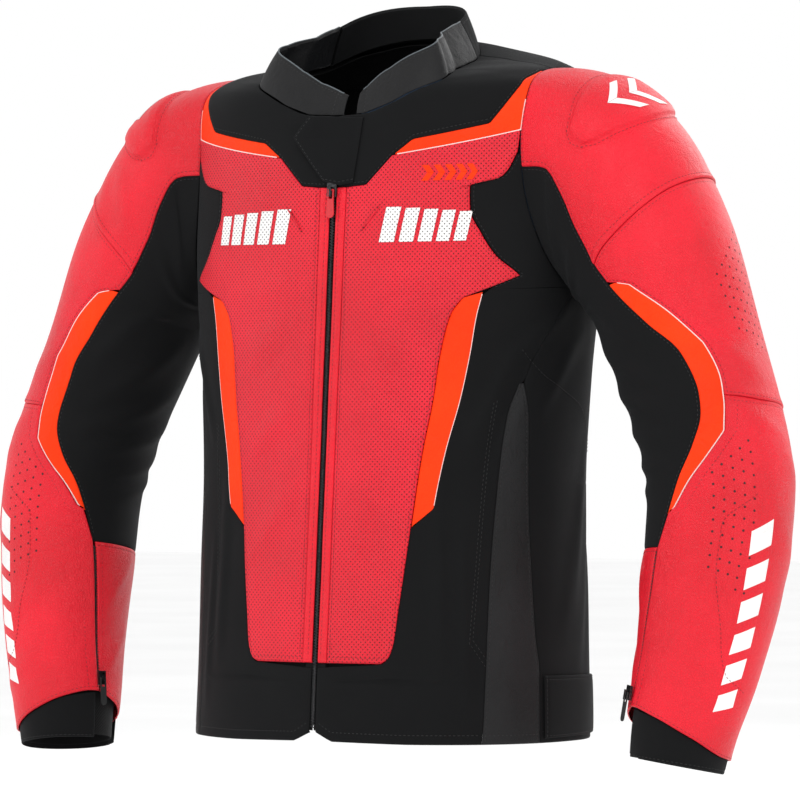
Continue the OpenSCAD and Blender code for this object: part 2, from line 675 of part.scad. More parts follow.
module elbow_strip(side) {
    color(orange_leather)
        sleeve_panel(side, concat([[103.1, 3.28]], [for (i = [6:12]) STRETCH_FRONT[i]]),
            concat([[97, 3.285]], STRIP_OUTER, [[120.6, 6.35]]),
            line([103.1, 3.28], [97, 3.285]), line([122, 6.35], [120.6, 6.35]),
            1, 12, 0, -leather_t);
}
module arm_stretch(side) {
    back = [for (i = [0:5]) [360 + BACK_LINE[i][0], BACK_LINE[i][1]]];
    color(black_stretch)
        sleeve_panel(side, STRETCH_FRONT, back, line(STRETCH_FRONT[0], back[0]),
            line([131, stretch_end], [220, stretch_end]), 10, 14, 0, -stretch_t);
}
module inner_forearm_panel(side) {
    color(red_leather)
        sleeve_panel(side, [for (p = ZIP_LINE) [p[0] + 3, p[1]]],
            [[220, stretch_end], [215, 9.3]], line([134, stretch_end], [220, stretch_end]),
            line([151, zip_foot], [215, 9.3]), 5, 6, 0, -leather_t);
}
module cuff_band(side) {
    head = concat([[-152, 9.35]], [for (i = [1:5]) CUFF_LINE[i] + [0, 0.01]], [[145, 8.97]]);
    color(black_stretch)
        sleeve_panel(side, line([-152, 10], [-152, 9.35]), line([145, 10], [145, 8.97]),
            line([-152, 10], [145, 10]), head, 14, 2, -2, -2 - stretch_t);
}
module cuff_zip_tape(side) {
    color(lining_cloth)
        sleeve_panel(side, [for (p = ZIP_LINE) [p[0] - 4, p[1]]],
            [for (p = ZIP_LINE) [p[0] + 8, p[1]]], line([127, stretch_end], [139, stretch_end]),
            line([144, zip_foot], [156, zip_foot]), 2, 8, -leather_t - 0.8, -leather_t - 1.6,
            gap = 0.4);
}
module shoulder_guard(side) {
    color(red_leather)
        sleeve_panel(side, line([-50, 0.98], [-50, 1.45]), [[77, 1.15], [77, 1.4]],
            [[-50, 0.98], [12, 0.9], [48, 0.92], [70, 1.05], [77, 1.15]],
            [[-50, 1.45], [35, 1.57], [62, 1.56], [77, 1.4]], 9, 3, 4, 1);
}
module shoulder_armour(side) {
    face = -leather_t - armour_room;
    color(armour_foam)
        sleeve_panel(side, [[-50, 0.7], [-58, 1.2], [-50, 2]], [[60, 0.7], [70, 1.2], [60, 2]],
            line([-50, 0.7], [60, 0.7]), line([-50, 2], [60, 2]), 6, 4, face,
            face - armour_t);
}
module elbow_armour(side) {
    face = -leather_t - armour_room;
    color(armour_foam)
        sleeve_panel(side, [[-60, 3.8], [-75, 5], [-58, 6.4]], [[30, 3.8], [45, 5], [28, 6.4]],
            line([-60, 3.8], [30, 3.8]), line([-58, 6.4], [28, 6.4]), 5, 6, face,
            face - armour_t);
}
module sleeve_lining(side) {
    // Four long strips, deep behind the armour and close to the leather at the cuff
    depth_steps = [[0.3, 8.2, sleeve_lining_depth], [8.3, 9.8, 6]];
    color(lining_cloth)
        for (step = depth_steps) for (phi = [0:90:270])
            sleeve_panel(side, line([phi, step[0]], [phi, step[1]]),
                line([phi + 90, step[0]], [phi + 90, step[1]]),
                line([phi, step[0]], [phi + 90, step[0]]),
                line([phi, step[1]], [phi + 90, step[1]]), 3, step[1] > 9 ? 1 : 8, -step[2],
                -step[2] - lining_t, gap = 2);
}

// ---- Cuff zip slider and pull --------------------------------------------------------------
// They ride a straight chord beside the zip line, clear of the bulging forearm
cuff_rest = 8.75;
cuff_top = 7.25;
cuff_lift = 3;
function zip_phi(s) = lookup(s, [for (p = ZIP_LINE) [p[1], p[0]]]) + 1.5;
function cuff_point(s, side) = sleeve(zip_phi(s), s, roll_of(side));
function cuff_out(side) = outward_at("sleeve", [zip_phi(8), 8], roll_of(side));
// Frame on the cuff zip: Z up along the zip, -Y out of the sleeve
module on_cuff(side, out) {
    foot = cuff_point(cuff_rest, side);
    up = unit(cuff_point(cuff_top, side) - foot);
    away = unit(cuff_out(side) - up * (cuff_out(side) * up));
    across = cross(up, away);
    place = foot + away * (cuff_lift + out);
    mirrored_for(side)
        multmatrix([
            [-across[0], -away[0], up[0], place[0]],
            [-across[1], -away[1], up[1], place[1]],
            [-across[2], -away[2], up[2], place[2]],
            [0, 0, 0, 1]
        ]) children();
}
module cuff_zip_slider(side) {
    color(metal) on_cuff(side, 0) slider_body(8);
}
module cuff_zip_pull(side) {
    color(black_stretch) on_cuff(side, pull_out) pull_tab(6);
}

front_panel(1);  // front_panel_left
front_panel(-1);  // front_panel_right
placket(1);  // placket_left
placket(-1);  // placket_right
chest_strips();
side_strips();
back_strips();
yoke_front(1);  // yoke_front_left
yoke_front(-1);  // yoke_front_right
yoke_back();
back_panel();
back_lower();
front_lower(1);  // front_lower_left
front_lower(-1);  // front_lower_right
chest_sides();
side_insert(1);  // side_insert_left
side_insert(-1);  // side_insert_right
side_back(1);  // side_back_left
side_back(-1);  // side_back_right
collar_back();
collar_front(1);  // collar_front_left
collar_front(-1);  // collar_front_right
torso_lining();
back_pad();
hanger_loop();
main_zip_tapes();
connection_zip();
neck_flap();
waist_tab(1);  // waist_tab_left
waist_tab(-1);  // waist_tab_right
main_zip_slider();
main_zip_pull();
shoulder_panel(1);  // shoulder_panel_left
shoulder_guard(1);  // shoulder_guard_left
shoulder_armour(1);  // shoulder_armour_left
upper_arm_panel(1);  // upper_arm_panel_left
forearm_panel(1);  // forearm_panel_left
inner_forearm_panel(1);  // inner_forearm_panel_left
arm_stretch(1);  // arm_stretch_left
elbow_strip(1);  // elbow_strip_left
cuff_band(1);  // cuff_band_left
cuff_zip_tape(1);  // cuff_zip_tape_left
cuff_zip_slider(1);  // cuff_zip_slider_left
cuff_zip_pull(1);  // cuff_zip_pull_left
elbow_armour(1);  // elbow_armour_left
sleeve_lining(1);  // sleeve_lining_left
shoulder_panel(-1);  // shoulder_panel_right
shoulder_guard(-1);  // shoulder_guard_right
shoulder_armour(-1);  // shoulder_armour_right
upper_arm_panel(-1);  // upper_arm_panel_right
forearm_panel(-1);  // forearm_panel_right
inner_forearm_panel(-1);  // inner_forearm_panel_right
arm_stretch(-1);  // arm_stretch_right
elbow_strip(-1);  // elbow_strip_right
cuff_band(-1);  // cuff_band_right
cuff_zip_tape(-1);  // cuff_zip_tape_right
cuff_zip_slider(-1);  // cuff_zip_slider_right
cuff_zip_pull(-1);  // cuff_zip_pull_right
elbow_armour(-1);  // elbow_armour_right
sleeve_lining(-1);  // sleeve_lining_right
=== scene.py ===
import bpy, bmesh, math
import numpy as np
from mathutils import Matrix, Vector


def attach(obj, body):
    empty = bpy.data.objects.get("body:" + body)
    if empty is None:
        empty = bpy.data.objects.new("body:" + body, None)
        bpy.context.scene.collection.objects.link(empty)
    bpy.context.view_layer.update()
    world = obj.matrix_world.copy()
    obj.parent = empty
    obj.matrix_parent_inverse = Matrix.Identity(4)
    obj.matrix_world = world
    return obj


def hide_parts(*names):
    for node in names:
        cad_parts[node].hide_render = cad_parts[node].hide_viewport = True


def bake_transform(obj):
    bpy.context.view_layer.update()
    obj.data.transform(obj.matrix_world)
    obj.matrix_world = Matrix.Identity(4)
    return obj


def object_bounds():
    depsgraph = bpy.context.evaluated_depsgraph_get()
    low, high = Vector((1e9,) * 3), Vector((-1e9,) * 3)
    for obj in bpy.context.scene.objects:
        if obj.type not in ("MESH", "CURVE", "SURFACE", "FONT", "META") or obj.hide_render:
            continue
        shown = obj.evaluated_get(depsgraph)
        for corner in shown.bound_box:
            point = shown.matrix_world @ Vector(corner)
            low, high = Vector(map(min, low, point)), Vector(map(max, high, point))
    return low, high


# %% [markdown]
# # A leather riding jacket, panel by panel
# A riding jacket is sewn from about fifty flat panels of leather and stretch cloth. Each panel is
# cut so that, once sewn, it lies on one rounded body shape or on one bent sleeve shape. So this
# lesson first writes those two shapes as formulas, and then cuts every panel from them. The packed
# CAD model is the fixed frame: it says where everything is, and its plain panels are replaced here.

# %% Load the frame
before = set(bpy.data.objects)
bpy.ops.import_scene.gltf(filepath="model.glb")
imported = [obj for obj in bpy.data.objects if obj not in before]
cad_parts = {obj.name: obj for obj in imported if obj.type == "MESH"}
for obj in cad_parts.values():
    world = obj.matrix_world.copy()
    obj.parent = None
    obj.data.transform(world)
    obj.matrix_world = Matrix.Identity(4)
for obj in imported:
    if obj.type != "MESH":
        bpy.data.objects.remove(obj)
cad_box = [list(corner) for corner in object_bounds()]
MM = 0.001

# %% [markdown]
# ## Camera
# The jacket floats as if on an invisible body, seen from its left at the height of its middle with
# a long lens. A long lens far away keeps the near sleeve from looking bigger than the far one.

# %% Camera
CAMERA_TURN, CAMERA_DISTANCE, CAMERA_DROP = math.radians(31), 5.0, Vector((0, 0, 0.02))
SENSOR, LENS = 36, 241.9
side = Vector((math.cos(CAMERA_TURN), math.sin(CAMERA_TURN), 0))
aim = Vector((0, -0.0721, -0.317)) + side * 0.003
camera_data = bpy.data.cameras.new("camera")
camera_data.lens = LENS
camera_data.sensor_width = SENSOR
camera = bpy.data.objects.new("camera", camera_data)
bpy.context.scene.collection.objects.link(camera)
towards = Vector((math.sin(CAMERA_TURN), -math.cos(CAMERA_TURN), 0))
camera.location = aim + towards * CAMERA_DISTANCE - CAMERA_DROP
camera.rotation_euler = (camera.location + CAMERA_DROP - aim).to_track_quat("Z", "Y").to_euler()
camera_data.shift_y = CAMERA_DROP.z * LENS / SENSOR / CAMERA_DISTANCE
bpy.context.scene.camera = camera
bpy.context.scene.view_settings.view_transform = "Standard"
print("camera at", [round(x, 3) for x in camera.location])

# %% [markdown]
# ## The body shape
# One angle `u` goes round the body from the front edge over the wearer's left side to the back, and
# one number `v` goes up from the hem (0) to the neck seam (10). Eleven measured rows give the
# widths and depths, and a smooth curve through the rows fills in between. A section of a dressed
# body is a rounded box, so the sine and cosine are raised to a power a little below one.

# %% The body as a formula
HEM_TO_CHEST, SPREAD, NECK_DROP = 551.0, 128.0, 56.0
BODY_ROWS = np.array([
    [-90 - HEM_TO_CHEST, 190, 116, 0, 0], [-90 - 0.77 * HEM_TO_CHEST, 188, 112, 0.04, 0],
    [-90 - 0.55 * HEM_TO_CHEST, 187, 108, 0.1, 0], [-90 - 0.39 * HEM_TO_CHEST, 192, 114, 0.16, 0],
    [-90 - 0.254 * HEM_TO_CHEST, 199, 120, 0.16, 0], [-90 - 0.118 * HEM_TO_CHEST, 204, 122, 0.18, 0],
    [-90, 206, 116, 0.25, 0], [-36, 78 + 0.94 * SPREAD, 100, 0.39, 0],
    [-9, 78 + 0.68 * SPREAD, 86, 0.61, -7], [4, 78 + 0.3 * SPREAD, 74, 0.82, -12],
    [9, 78, 62, 1, -16]], float)
FRONT_DEPTH, FRONT_LEAN, FRONT_NECK_Z, POWER = 107.0, 0.0754, -71.0, 2 / 2.35


def unit(a):
    return a / np.maximum(np.linalg.norm(a, axis=-1, keepdims=True), 1e-9)


def ease(k):
    k = np.clip(k, 0, 1)
    return k * k * (3 - 2 * k)


def through(rows, v):
    last = len(rows) - 1
    v = np.clip(np.asarray(v, float), 0, last)
    i = np.minimum(v.astype(int), last - 1)
    t = (v - i)[..., None]
    a, b, c, d = rows[np.maximum(i - 1, 0)], rows[i], rows[i + 1], rows[np.minimum(i + 2, last)]
    return 0.5 * (2 * b + (c - a) * t + (2 * a - 5 * b + 4 * c - d) * t**2 + (3 * b - a - 3 * c + d) * t**3)


def body(u, v):
    row = through(BODY_ROWS, v)
    s, c = np.sin(np.radians(u)), np.cos(np.radians(u))
    front_z = row[..., 0] - row[..., 3] * NECK_DROP
    front = FRONT_DEPTH + FRONT_LEAN * (FRONT_NECK_Z - front_z) + row[..., 4]
    depth = np.where(c > 0, front, row[..., 2])
    return np.stack([row[..., 1] * np.sign(s) * np.abs(s) ** POWER,
                     -depth * np.sign(c) * np.abs(c) ** POWER,
                     row[..., 0] - row[..., 3] * NECK_DROP * (1 + c) / 2], -1)


ORIGIN = body(180.0, 7.8) - np.array([0, 16.5, 0])


def torso(u, v, roll=0):
    return body(u, v) - ORIGIN


print("origin sits at", ORIGIN.round(2), "of the body's own measure")

# %% [markdown]
# ## The sleeve shape
# A riding sleeve is cut already bent, for hands on the bars. Its centre line runs through eleven
# points from the shoulder to the cuff, with a ring round each. `phi` goes round the arm: 0 is
# outside, 90 in front and 180 under the arm. The first rings melt into the armhole of the body, so
# body and sleeve meet in one line. Each forearm is turned a little, as a hanging arm is.

# %% The sleeve as a formula
ARMHOLE_R, CUFF_R, FOREARM_ROLL = 90.0, 46.0, 15.0
SLEEVE_SIZE = np.array([168.0, -66.0, -548.0])
SLEEVE_ROWS = np.array([
    [0, 0, 0, 1, -4], [0.17, -0.02, 0.01, 0.91, -2], [0.34, -0.02, 0.07, 0.75, 0],
    [0.55, 0.02, 0.18, 0.66, 0], [0.74, 0.1, 0.32, 0.52, 2], [0.91, 0.22, 0.45, 0.45, 4],
    [1, 0.34, 0.56, 0.45, 2], [0.99, 0.53, 0.7, 0.39, 0], [0.95, 0.73, 0.825, 0.23, 1],
    [0.89, 0.91, 0.93, 0.09, 1], [0.86, 1, 1, 0, 1]], float)
SHOULDER = np.array([182.0, 2, -108]) - ORIGIN
ARMPIT_ROWS, SHOULDER_ROWS = 3.4, 2.2


def armhole_uv(phi):
    a = np.radians(phi)
    return np.stack([88 - 34 * np.sin(a), 6 + 1.9 * np.cos(a)], -1)


def sleeve_centre(s):
    return SHOULDER + through(SLEEVE_ROWS, s)[..., :3] * SLEEVE_SIZE


def sleeve_ring(phi, s):
    row = through(SLEEVE_ROWS, s)
    radius = CUFF_R + (ARMHOLE_R - CUFF_R) * row[..., 3]
    heading = unit(sleeve_centre(np.minimum(s + 0.05, 10)) - sleeve_centre(np.maximum(s - 0.05, 0)))
    k = np.clip(1 - s / 1.5, 0, 1)[..., None]
    normal = unit(heading + (np.array([1, 0, -0.12]) - heading) * k)
    back = unit(np.array([0, 1.0, 0]) - normal * normal[..., 1:2])
    outward = np.cross(normal, back)
    a = np.radians(phi)
    return (sleeve_centre(s) + outward * (radius * np.cos(a))[..., None]
            - back * ((radius + row[..., 4]) * np.sin(a))[..., None])


def sleeve(phi, s, roll=0):
    turned = phi + roll * ease((s - 3.2) / 1.6)
    hole = armhole_uv(turned)
    start = torso(hole[..., 0], hole[..., 1])
    hold = ease(1 - s / SHOULDER_ROWS)[..., None]
    over = sleeve_ring(turned, s) + hold * (start - sleeve_ring(turned, np.zeros_like(s)))
    under = np.where(s < ARMPIT_ROWS, ease(-1.3 * np.cos(np.radians(turned)) - 0.1), 0)[..., None]
    leave = sleeve_ring(turned, np.full_like(s, ARMPIT_ROWS))
    straight = start + (leave - start) * (s / ARMPIT_ROWS)[..., None]
    return over + (straight - over) * under


print("cuff centre", sleeve_centre(10.0).round(1))

# %% [markdown]
# ## The collar shape
# The collar stands on the neck seam, which dips at the front. It leans inwards, more in front than
# behind, so its height is added straight up and towards the middle of the neck.

# %% The collar as a formula
NECK = np.array([[0.6, 6.65], [6, 6.68], [13, 6.9], [25, 7.55], [45, 8.7], [70, 9.6], [105, 9.92],
                 [140, 10], [180, 10]])
COLLAR_FRONT_H, COLLAR_BACK_H = 33.0, 31.0


def collar(u, h, roll=0):
    turn = np.where(np.abs(u) > 180, 360 - np.abs(u), np.abs(u))
    base = torso(u, np.interp(turn, NECK[:, 0], NECK[:, 1]))
    heights = [COLLAR_FRONT_H - 6, COLLAR_FRONT_H, COLLAR_FRONT_H + 3, COLLAR_BACK_H]
    height = np.interp(turn, [0, 12, 90, 180], heights)
    lean = np.interp(turn, [0, 90, 180], [0.55, 0.5, 0.12])
    centre = np.zeros_like(base) + np.array([0, -22.5 - ORIGIN[1], 0])
    centre[..., 2] = base[..., 2]
    up = np.array([0, 0, 1.0]) + lean[..., None] * unit(centre - base)
    return base + (h * height)[..., None] * up


SURFACES = {"torso": (torso, 0.04), "collar": (collar, 0.1), "sleeve": (sleeve, 0.04)}


def outward_at(surface, u, v, roll):
    shape, dv = SURFACES[surface]
    du = 1.0
    return unit(np.cross(shape(u + du, v, roll) - shape(u - du, v, roll),
                         shape(u, v + dv, roll) - shape(u, v - dv, roll)))


print("collar top at the back", collar(np.array(180.0), np.array(1.0)).round(1))

# %% [markdown]
# ## Folds
# Worn leather is never quite smooth: it dents above the belly, drags towards the armpit and breaks
# at the elbow. A cloth simulation would find such folds by itself, but it would also pull the
# sewn edges off each other. Here each fold is one soft ridge between two points of the surface,
# and the same ridge lifts the leather, the lining and the stitches, so that they stay together.

# %% Fold tables: from u, v to u, v, width and height in millimetres
TORSO_FOLDS = [
    (8, 2.9, 26, 2.2, 12, 1.6), (5, 2.1, 22, 1.5, 11, 1.5), (10, 3.6, 31, 3.1, 13, 1.3),
    (12, 1.2, 16, 2.2, 10, -1.2), (-8, 2.7, -25, 2.1, 12, 1.6), (-6, 1.9, -21, 1.3, 11, 1.4),
    (-11, 3.7, -30, 3.0, 13, 1.2), (6, 4.3, 30, 4.1, 14, 1.0), (-6, 4.2, -31, 4.0, 14, 1.0),
    (36, 0.5, 33, 2.1, 9, 2.0), (45, 0.3, 41, 1.6, 8, 1.6), (42, 2.2, 58, 3.4, 10, 1.8),
    (48, 2.0, 66, 3.3, 9, -1.6), (55, 3.2, 84, 3.9, 10, 2.0), (70, 2.6, 92, 3.6, 11, 1.8),
    (-36, 0.6, -34, 2.0, 9, 2.0), (-44, 0.3, -42, 1.5, 8, 1.5), (-44, 2.3, -60, 3.4, 10, 1.8),
    (-56, 3.1, -84, 3.9, 10, 2.0), (86, 0.8, 104, 2.4, 12, 1.8), (96, 0.5, 118, 1.8, 11, -1.5),
    (-88, 0.9, -106, 2.5, 12, 1.8), (-97, 0.5, -119, 1.9, 11, -1.5), (150, 1.4, 172, 1.2, 12, 1.6),
    (152, 2.0, 178, 1.9, 12, 1.6), (156, 2.6, 190, 2.5, 12, 1.4), (184, 1.3, 212, 1.6, 12, 1.5),
    (186, 2.2, 214, 2.3, 12, 1.4), (100, 5.0, 126, 4.2, 12, 1.6), (-100, 5.0, -126, 4.3, 12, 1.6),
    (118, 6.0, 138, 5.0, 12, 1.4), (-118, 6.0, -138, 5.1, 12, 1.4), (60, 8.6, 84, 8.0, 9, 0.9)]
SLEEVE_FOLDS = [
    (150, 3.0, 96, 4.1, 8, 2.0), (170, 3.6, 100, 4.6, 8, 2.2), (185, 4.1, 98, 5.0, 8, 2.4),
    (200, 4.6, 112, 5.3, 8, 2.2), (214, 5.0, 130, 5.7, 8, 1.9), (222, 5.4, 150, 6.1, 8, 1.6),
    (60, 5.0, 0, 5.6, 10, 1.4), (50, 5.5, -20, 5.9, 10, 1.2), (70, 4.2, 20, 4.6, 10, 1.2),
    (-60, 4.4, -110, 5.0, 10, 1.6), (-50, 5.2, -115, 5.6, 10, 1.6), (30, 6.4, -30, 6.8, 11, 1.2),
    (90, 7.4, 30, 7.8, 9, 1.1), (80, 8.4, 10, 8.7, 9, 1.1), (-20, 7.6, -100, 8.0, 10, 1.2),
    (-40, 8.6, -120, 8.9, 9, 1.1), (60, 1.8, 96, 2.6, 10, 1.4), (40, 2.1, 90, 3.1, 10, 1.2),
    (-40, 1.8, -96, 2.4, 11, 1.4), (170, 1.4, 120, 2.3, 10, 1.8), (200, 1.6, 240, 2.6, 10, 1.8),
    (180, 6.8, 150, 7.6, 8, 1.4), (190, 7.8, 160, 8.6, 8, 1.2)]
FOLD_STRENGTH, TORSO_MM, SLEEVE_MM, SLEEVE_ROW = 1.45, 3.0, 1.25, 58.0


def fold_height(x, y, folds, xs, ys):
    total = np.zeros_like(x)
    for u0, v0, u1, v1, width, height in folds:
        ax, ay, bx, by = xs(u0), ys(v0), xs(u1), ys(v1)
        span = (bx - ax) ** 2 + (by - ay) ** 2
        t = ((x - ax) * (bx - ax) + (y - ay) * (by - ay)) / span
        near = np.clip(t, 0, 1)
        q = np.hypot(x - ax - near * (bx - ax), y - ay - near * (by - ay)) / width
        taper = np.clip(1 - np.abs(2 * t - 1) ** 3 * 0.8, 0, 1)
        total += FOLD_STRENGTH * height * taper * (np.exp(-q * q) - 0.45 * np.exp(-(q / 2.2) ** 2))
    return total


def folds(surface, u, v, mirror):
    if surface == "torso":
        turn = np.where(u > 215, u - 360, u) * (-1 if mirror else 1)
        def rise(b):
            return np.interp(b, np.arange(11), BODY_ROWS[:, 0])
        x, y = TORSO_MM * turn, rise(v)
        wave = 0.35 * np.sin(0.045 * x + 0.9 * np.sin(0.021 * y)) * np.sin(0.033 * y + 1.3)
        return fold_height(x, y, TORSO_FOLDS, lambda a: TORSO_MM * a, rise) + wave
    if surface == "sleeve":
        turn = np.where(u < -135, u + 360, u)
        x, y = SLEEVE_MM * turn, SLEEVE_ROW * v
        wave = 0.4 * np.sin(0.05 * x + 1.1 * np.sin(0.03 * y) + mirror) * np.sin(0.04 * y + 0.7)
        raised = fold_height(x, y, SLEEVE_FOLDS, lambda a: SLEEVE_MM * a, lambda b: SLEEVE_ROW * b)
        return (raised + wave) * ease(v / 0.5)
    return np.zeros_like(u)


print(len(TORSO_FOLDS), "body folds,", len(SLEEVE_FOLDS), "folds on each sleeve")

# %% [markdown]
# ## Finishes
# Leather has three scales: pebbled grain about a millimetre wide, soft creases, and slow changes of
# colour and gloss. Cell noise (Voronoi) makes the pebbles and plain noise the rest. They read
# object coordinates, so the grain runs on over every seam at one size. The weave of the stretch
# cloth and the punched holes follow the cloth, so they read the piece's own UV map, in metres.

# %% Node helpers
def sheet_of_nodes(name):
    material = bpy.data.materials.new(name)
    material.use_nodes = True
    tree = material.node_tree
    return material, tree, tree.nodes["Principled BSDF"]


def add(tree, kind, inputs=None, **settings):
    node = tree.nodes.new("ShaderNode" + kind)
    for key, value in settings.items():
        setattr(node, key, value)
    for key, value in (inputs or {}).items():
        if isinstance(value, bpy.types.NodeSocket):
            tree.links.new(value, node.inputs[key])
        else:
            node.inputs[key].default_value = value
    return node


def span(tree, source, a, b, low=0.0, high=1.0):
    return add(tree, "MapRange", {0: source, 1: a, 2: b, 3: low, 4: high}).outputs[0]


def mixed(tree, share, low, high):
    return add(tree, "Mix", {0: share, 6: low, 7: high}, data_type="RGBA").outputs[2]


def ramp(tree, source, low, high, from_min, from_max):
    return mixed(tree, span(tree, source, from_min, from_max), (*low, 1), (*high, 1))


def noise(tree, place, scale, detail, **more):
    inputs = {"Vector": place, "Scale": scale, "Detail": detail}
    return add(tree, "TexNoise", {**inputs, **{key.title(): value for key, value in more.items()}})


def bumped(tree, shader, layers):
    normal = None
    for height, distance in layers:
        inputs = {"Height": height, "Distance": distance, "Strength": 1.0}
        if normal:
            inputs["Normal"] = normal
        normal = add(tree, "Bump", inputs).outputs[0]
    tree.links.new(normal, shader.inputs["Normal"])


print("node helpers ready")

# %% Leather
def holes(tree, pitch, radius):
    """1 in a punched hole and 0 on the leather, on a staggered lattice of the UV map."""
    uv = add(tree, "UVMap", uv_map="UVMap").outputs[0]
    turned = add(tree, "Mapping", {0: uv, 2: (0, 0, math.radians(45))}).outputs[0]
    dots = add(tree, "TexVoronoi", {"Vector": turned, "Scale": 1 / pitch, "Randomness": 0.0},
               voronoi_dimensions="2D").outputs["Distance"]
    return span(tree, dots, radius / pitch * 0.75, radius / pitch * 1.15, 1.0, 0.0)


def leather(name, dark, light, rough=(0.42, 0.58), grain=0.00016, pitch=None, coat=0.04, pebble=620,
            gloss=0.3):
    material, tree, shader = sheet_of_nodes(name)
    place = add(tree, "TexCoord").outputs["Object"]
    slow = noise(tree, place, 9.0, 5.0, roughness=0.62).outputs[0]
    fine = noise(tree, place, 1900.0, 3.0).outputs[0]
    warp = noise(tree, place, 260.0, 2.0).outputs["Color"]
    bent = add(tree, "VectorMath", {0: warp, 1: (0.0016,) * 3}, operation="MULTIPLY").outputs[0]
    spot = add(tree, "VectorMath", {0: place, 1: bent}, operation="ADD").outputs[0]
    cells = add(tree, "TexVoronoi", {"Vector": spot, "Scale": pebble}, feature="DISTANCE_TO_EDGE")
    cells = cells.outputs["Distance"]
    creases = noise(tree, place, 70.0, 6.0, distortion=1.1).outputs[0]
    colour = ramp(tree, slow, dark, light, 0.32, 0.68)
    # The colour is darkened at the cell edges, in the valleys between the pebbles: painted shade.
    shade_painted_colour = mixed(tree, span(tree, cells, 0.0, 0.16, 0.22, 0.0), colour, (*[c * 0.45 for c in dark], 1))
    layers = [(creases, 0.0016), (span(tree, cells, 0.0, 0.22), grain), (fine, grain * 0.4)]
    if pitch:
        hole = holes(tree, pitch, pitch * 0.19)
        # Each punched hole is painted near black: partly the dark layer seen through it, partly painted shade
        # inside the hole.
        shade_painted_colour = mixed(tree, hole, shade_painted_colour, (*[c * 0.12 for c in dark], 1))
        layers.append((span(tree, hole, 0.0, 1.0, 1.0, 0.0), 0.0004))
    tree.links.new(shade_painted_colour, shader.inputs["Base Color"])
    tree.links.new(span(tree, slow, 0.3, 0.7, *rough), shader.inputs["Roughness"])
    shader.inputs["Coat Weight"].default_value = coat
    shader.inputs["Coat Roughness"].default_value = 0.35
    shader.inputs["Specular IOR Level"].default_value = gloss
    bumped(tree, shader, layers)
    return material


RED = leather("red_leather", (0.58, 0.002, 0.012), (0.74, 0.004, 0.020), (0.36, 0.52), 0.0003, pebble=460)
PERFORATED = leather("perforated_red_leather", (0.56, 0.004, 0.016), (0.70, 0.008, 0.026), pitch=0.0032)
ORANGE = leather("orange_leather", (0.80, 0.030, 0.001), (0.90, 0.044, 0.002), (0.5, 0.62), 0.00006,
                 coat=0.0, gloss=0.12)
GREY = leather("grey_leather", (0.006, 0.006, 0.0064), (0.012, 0.012, 0.0128), (0.5, 0.66), 0.00012,
               gloss=0.15)
PRINT = (0.70, 0.69, 0.68), (0.80, 0.79, 0.78), (0.4, 0.5), 0.00008
WHITE = leather("white_print", *PRINT)
WHITE_PERFORATED = leather("white_print_perforated", *PRINT, pitch=0.0032)
print("six leathers")

# %% Cloth, thread, foam and metal
def woven(name, dark, light, pitch, depth, sheen=0.04, rough=0.8):
    material, tree, shader = sheet_of_nodes(name)
    place = add(tree, "TexCoord").outputs["Object"]
    uv = add(tree, "UVMap", uv_map="UVMap").outputs[0]
    diagonal = add(tree, "Mapping", {0: uv, 2: (0, 0, math.radians(28))}).outputs[0]
    yarns = []
    for direction, scale, wobble in (("X", 0.314, 0.6), ("Y", 0.314 * 1.4, 0.5)):
        wave = {"Vector": diagonal, "Scale": scale / pitch, "Distortion": wobble, "Detail": 1.0}
        yarns.append(add(tree, "TexWave", wave, wave_type="BANDS", bands_direction=direction))
    ribs, cross = (yarn.outputs["Fac"] for yarn in yarns)
    weave = add(tree, "Math", {0: ribs, 1: cross}, operation="MULTIPLY").outputs[0]
    slow = noise(tree, place, 14.0, 4.0).outputs[0]
    fuzz = noise(tree, place, 1500.0, 2.0).outputs[0]
    both = add(tree, "Math", {0: weave, 1: slow}, operation="ADD").outputs[0]
    tree.links.new(ramp(tree, both, dark, light, 0.2, 1.5), shader.inputs["Base Color"])
    tree.links.new(span(tree, slow, 0.3, 0.7, rough - 0.07, rough + 0.07), shader.inputs["Roughness"])
    shader.inputs["Sheen Weight"].default_value = sheen
    shader.inputs["Sheen Roughness"].default_value = 0.45
    shader.inputs["Sheen Tint"].default_value = (0.55, 0.57, 0.6, 1)
    shader.inputs["Specular IOR Level"].default_value = 0.12
    bumped(tree, shader, [(weave, depth), (fuzz, depth * 0.4)])
    return material


def plain(name, dark, light, rough, metallic=0.0, scale=300.0, depth=0.00005):
    material, tree, shader = sheet_of_nodes(name)
    place = add(tree, "TexCoord").outputs["Object"]
    mottle = noise(tree, place, scale, 4.0).outputs[0]
    tree.links.new(ramp(tree, mottle, dark, light, 0.35, 0.65), shader.inputs["Base Color"])
    tree.links.new(span(tree, mottle, 0.3, 0.7, rough * 0.8, rough * 1.2), shader.inputs["Roughness"])
    shader.inputs["Metallic"].default_value = metallic
    bumped(tree, shader, [(mottle, depth)])
    return material


STRETCH = woven("black_stretch", (0.0022, 0.0023, 0.0026), (0.0052, 0.0054, 0.0058), 0.0009, 0.00012)
LINING = woven("lining_mesh", (0.0012, 0.0012, 0.0014), (0.003, 0.003, 0.0033), 0.0024, 0.0003, 0.02, 0.7)
RED_THREAD = plain("red_thread", (0.16, 0.003, 0.008), (0.26, 0.006, 0.014), 0.6, scale=2500.0)
BLACK_THREAD = plain("black_thread", (0.001, 0.001, 0.0012), (0.004, 0.004, 0.0045), 0.6, scale=2500.0)
PIPING = plain("pale_piping", (0.66, 0.42, 0.40), (0.80, 0.58, 0.55), 0.45, scale=900.0)
GREY_PIPING = plain("grey_piping", (0.045, 0.058, 0.066), (0.085, 0.10, 0.11), 0.5, scale=900.0)
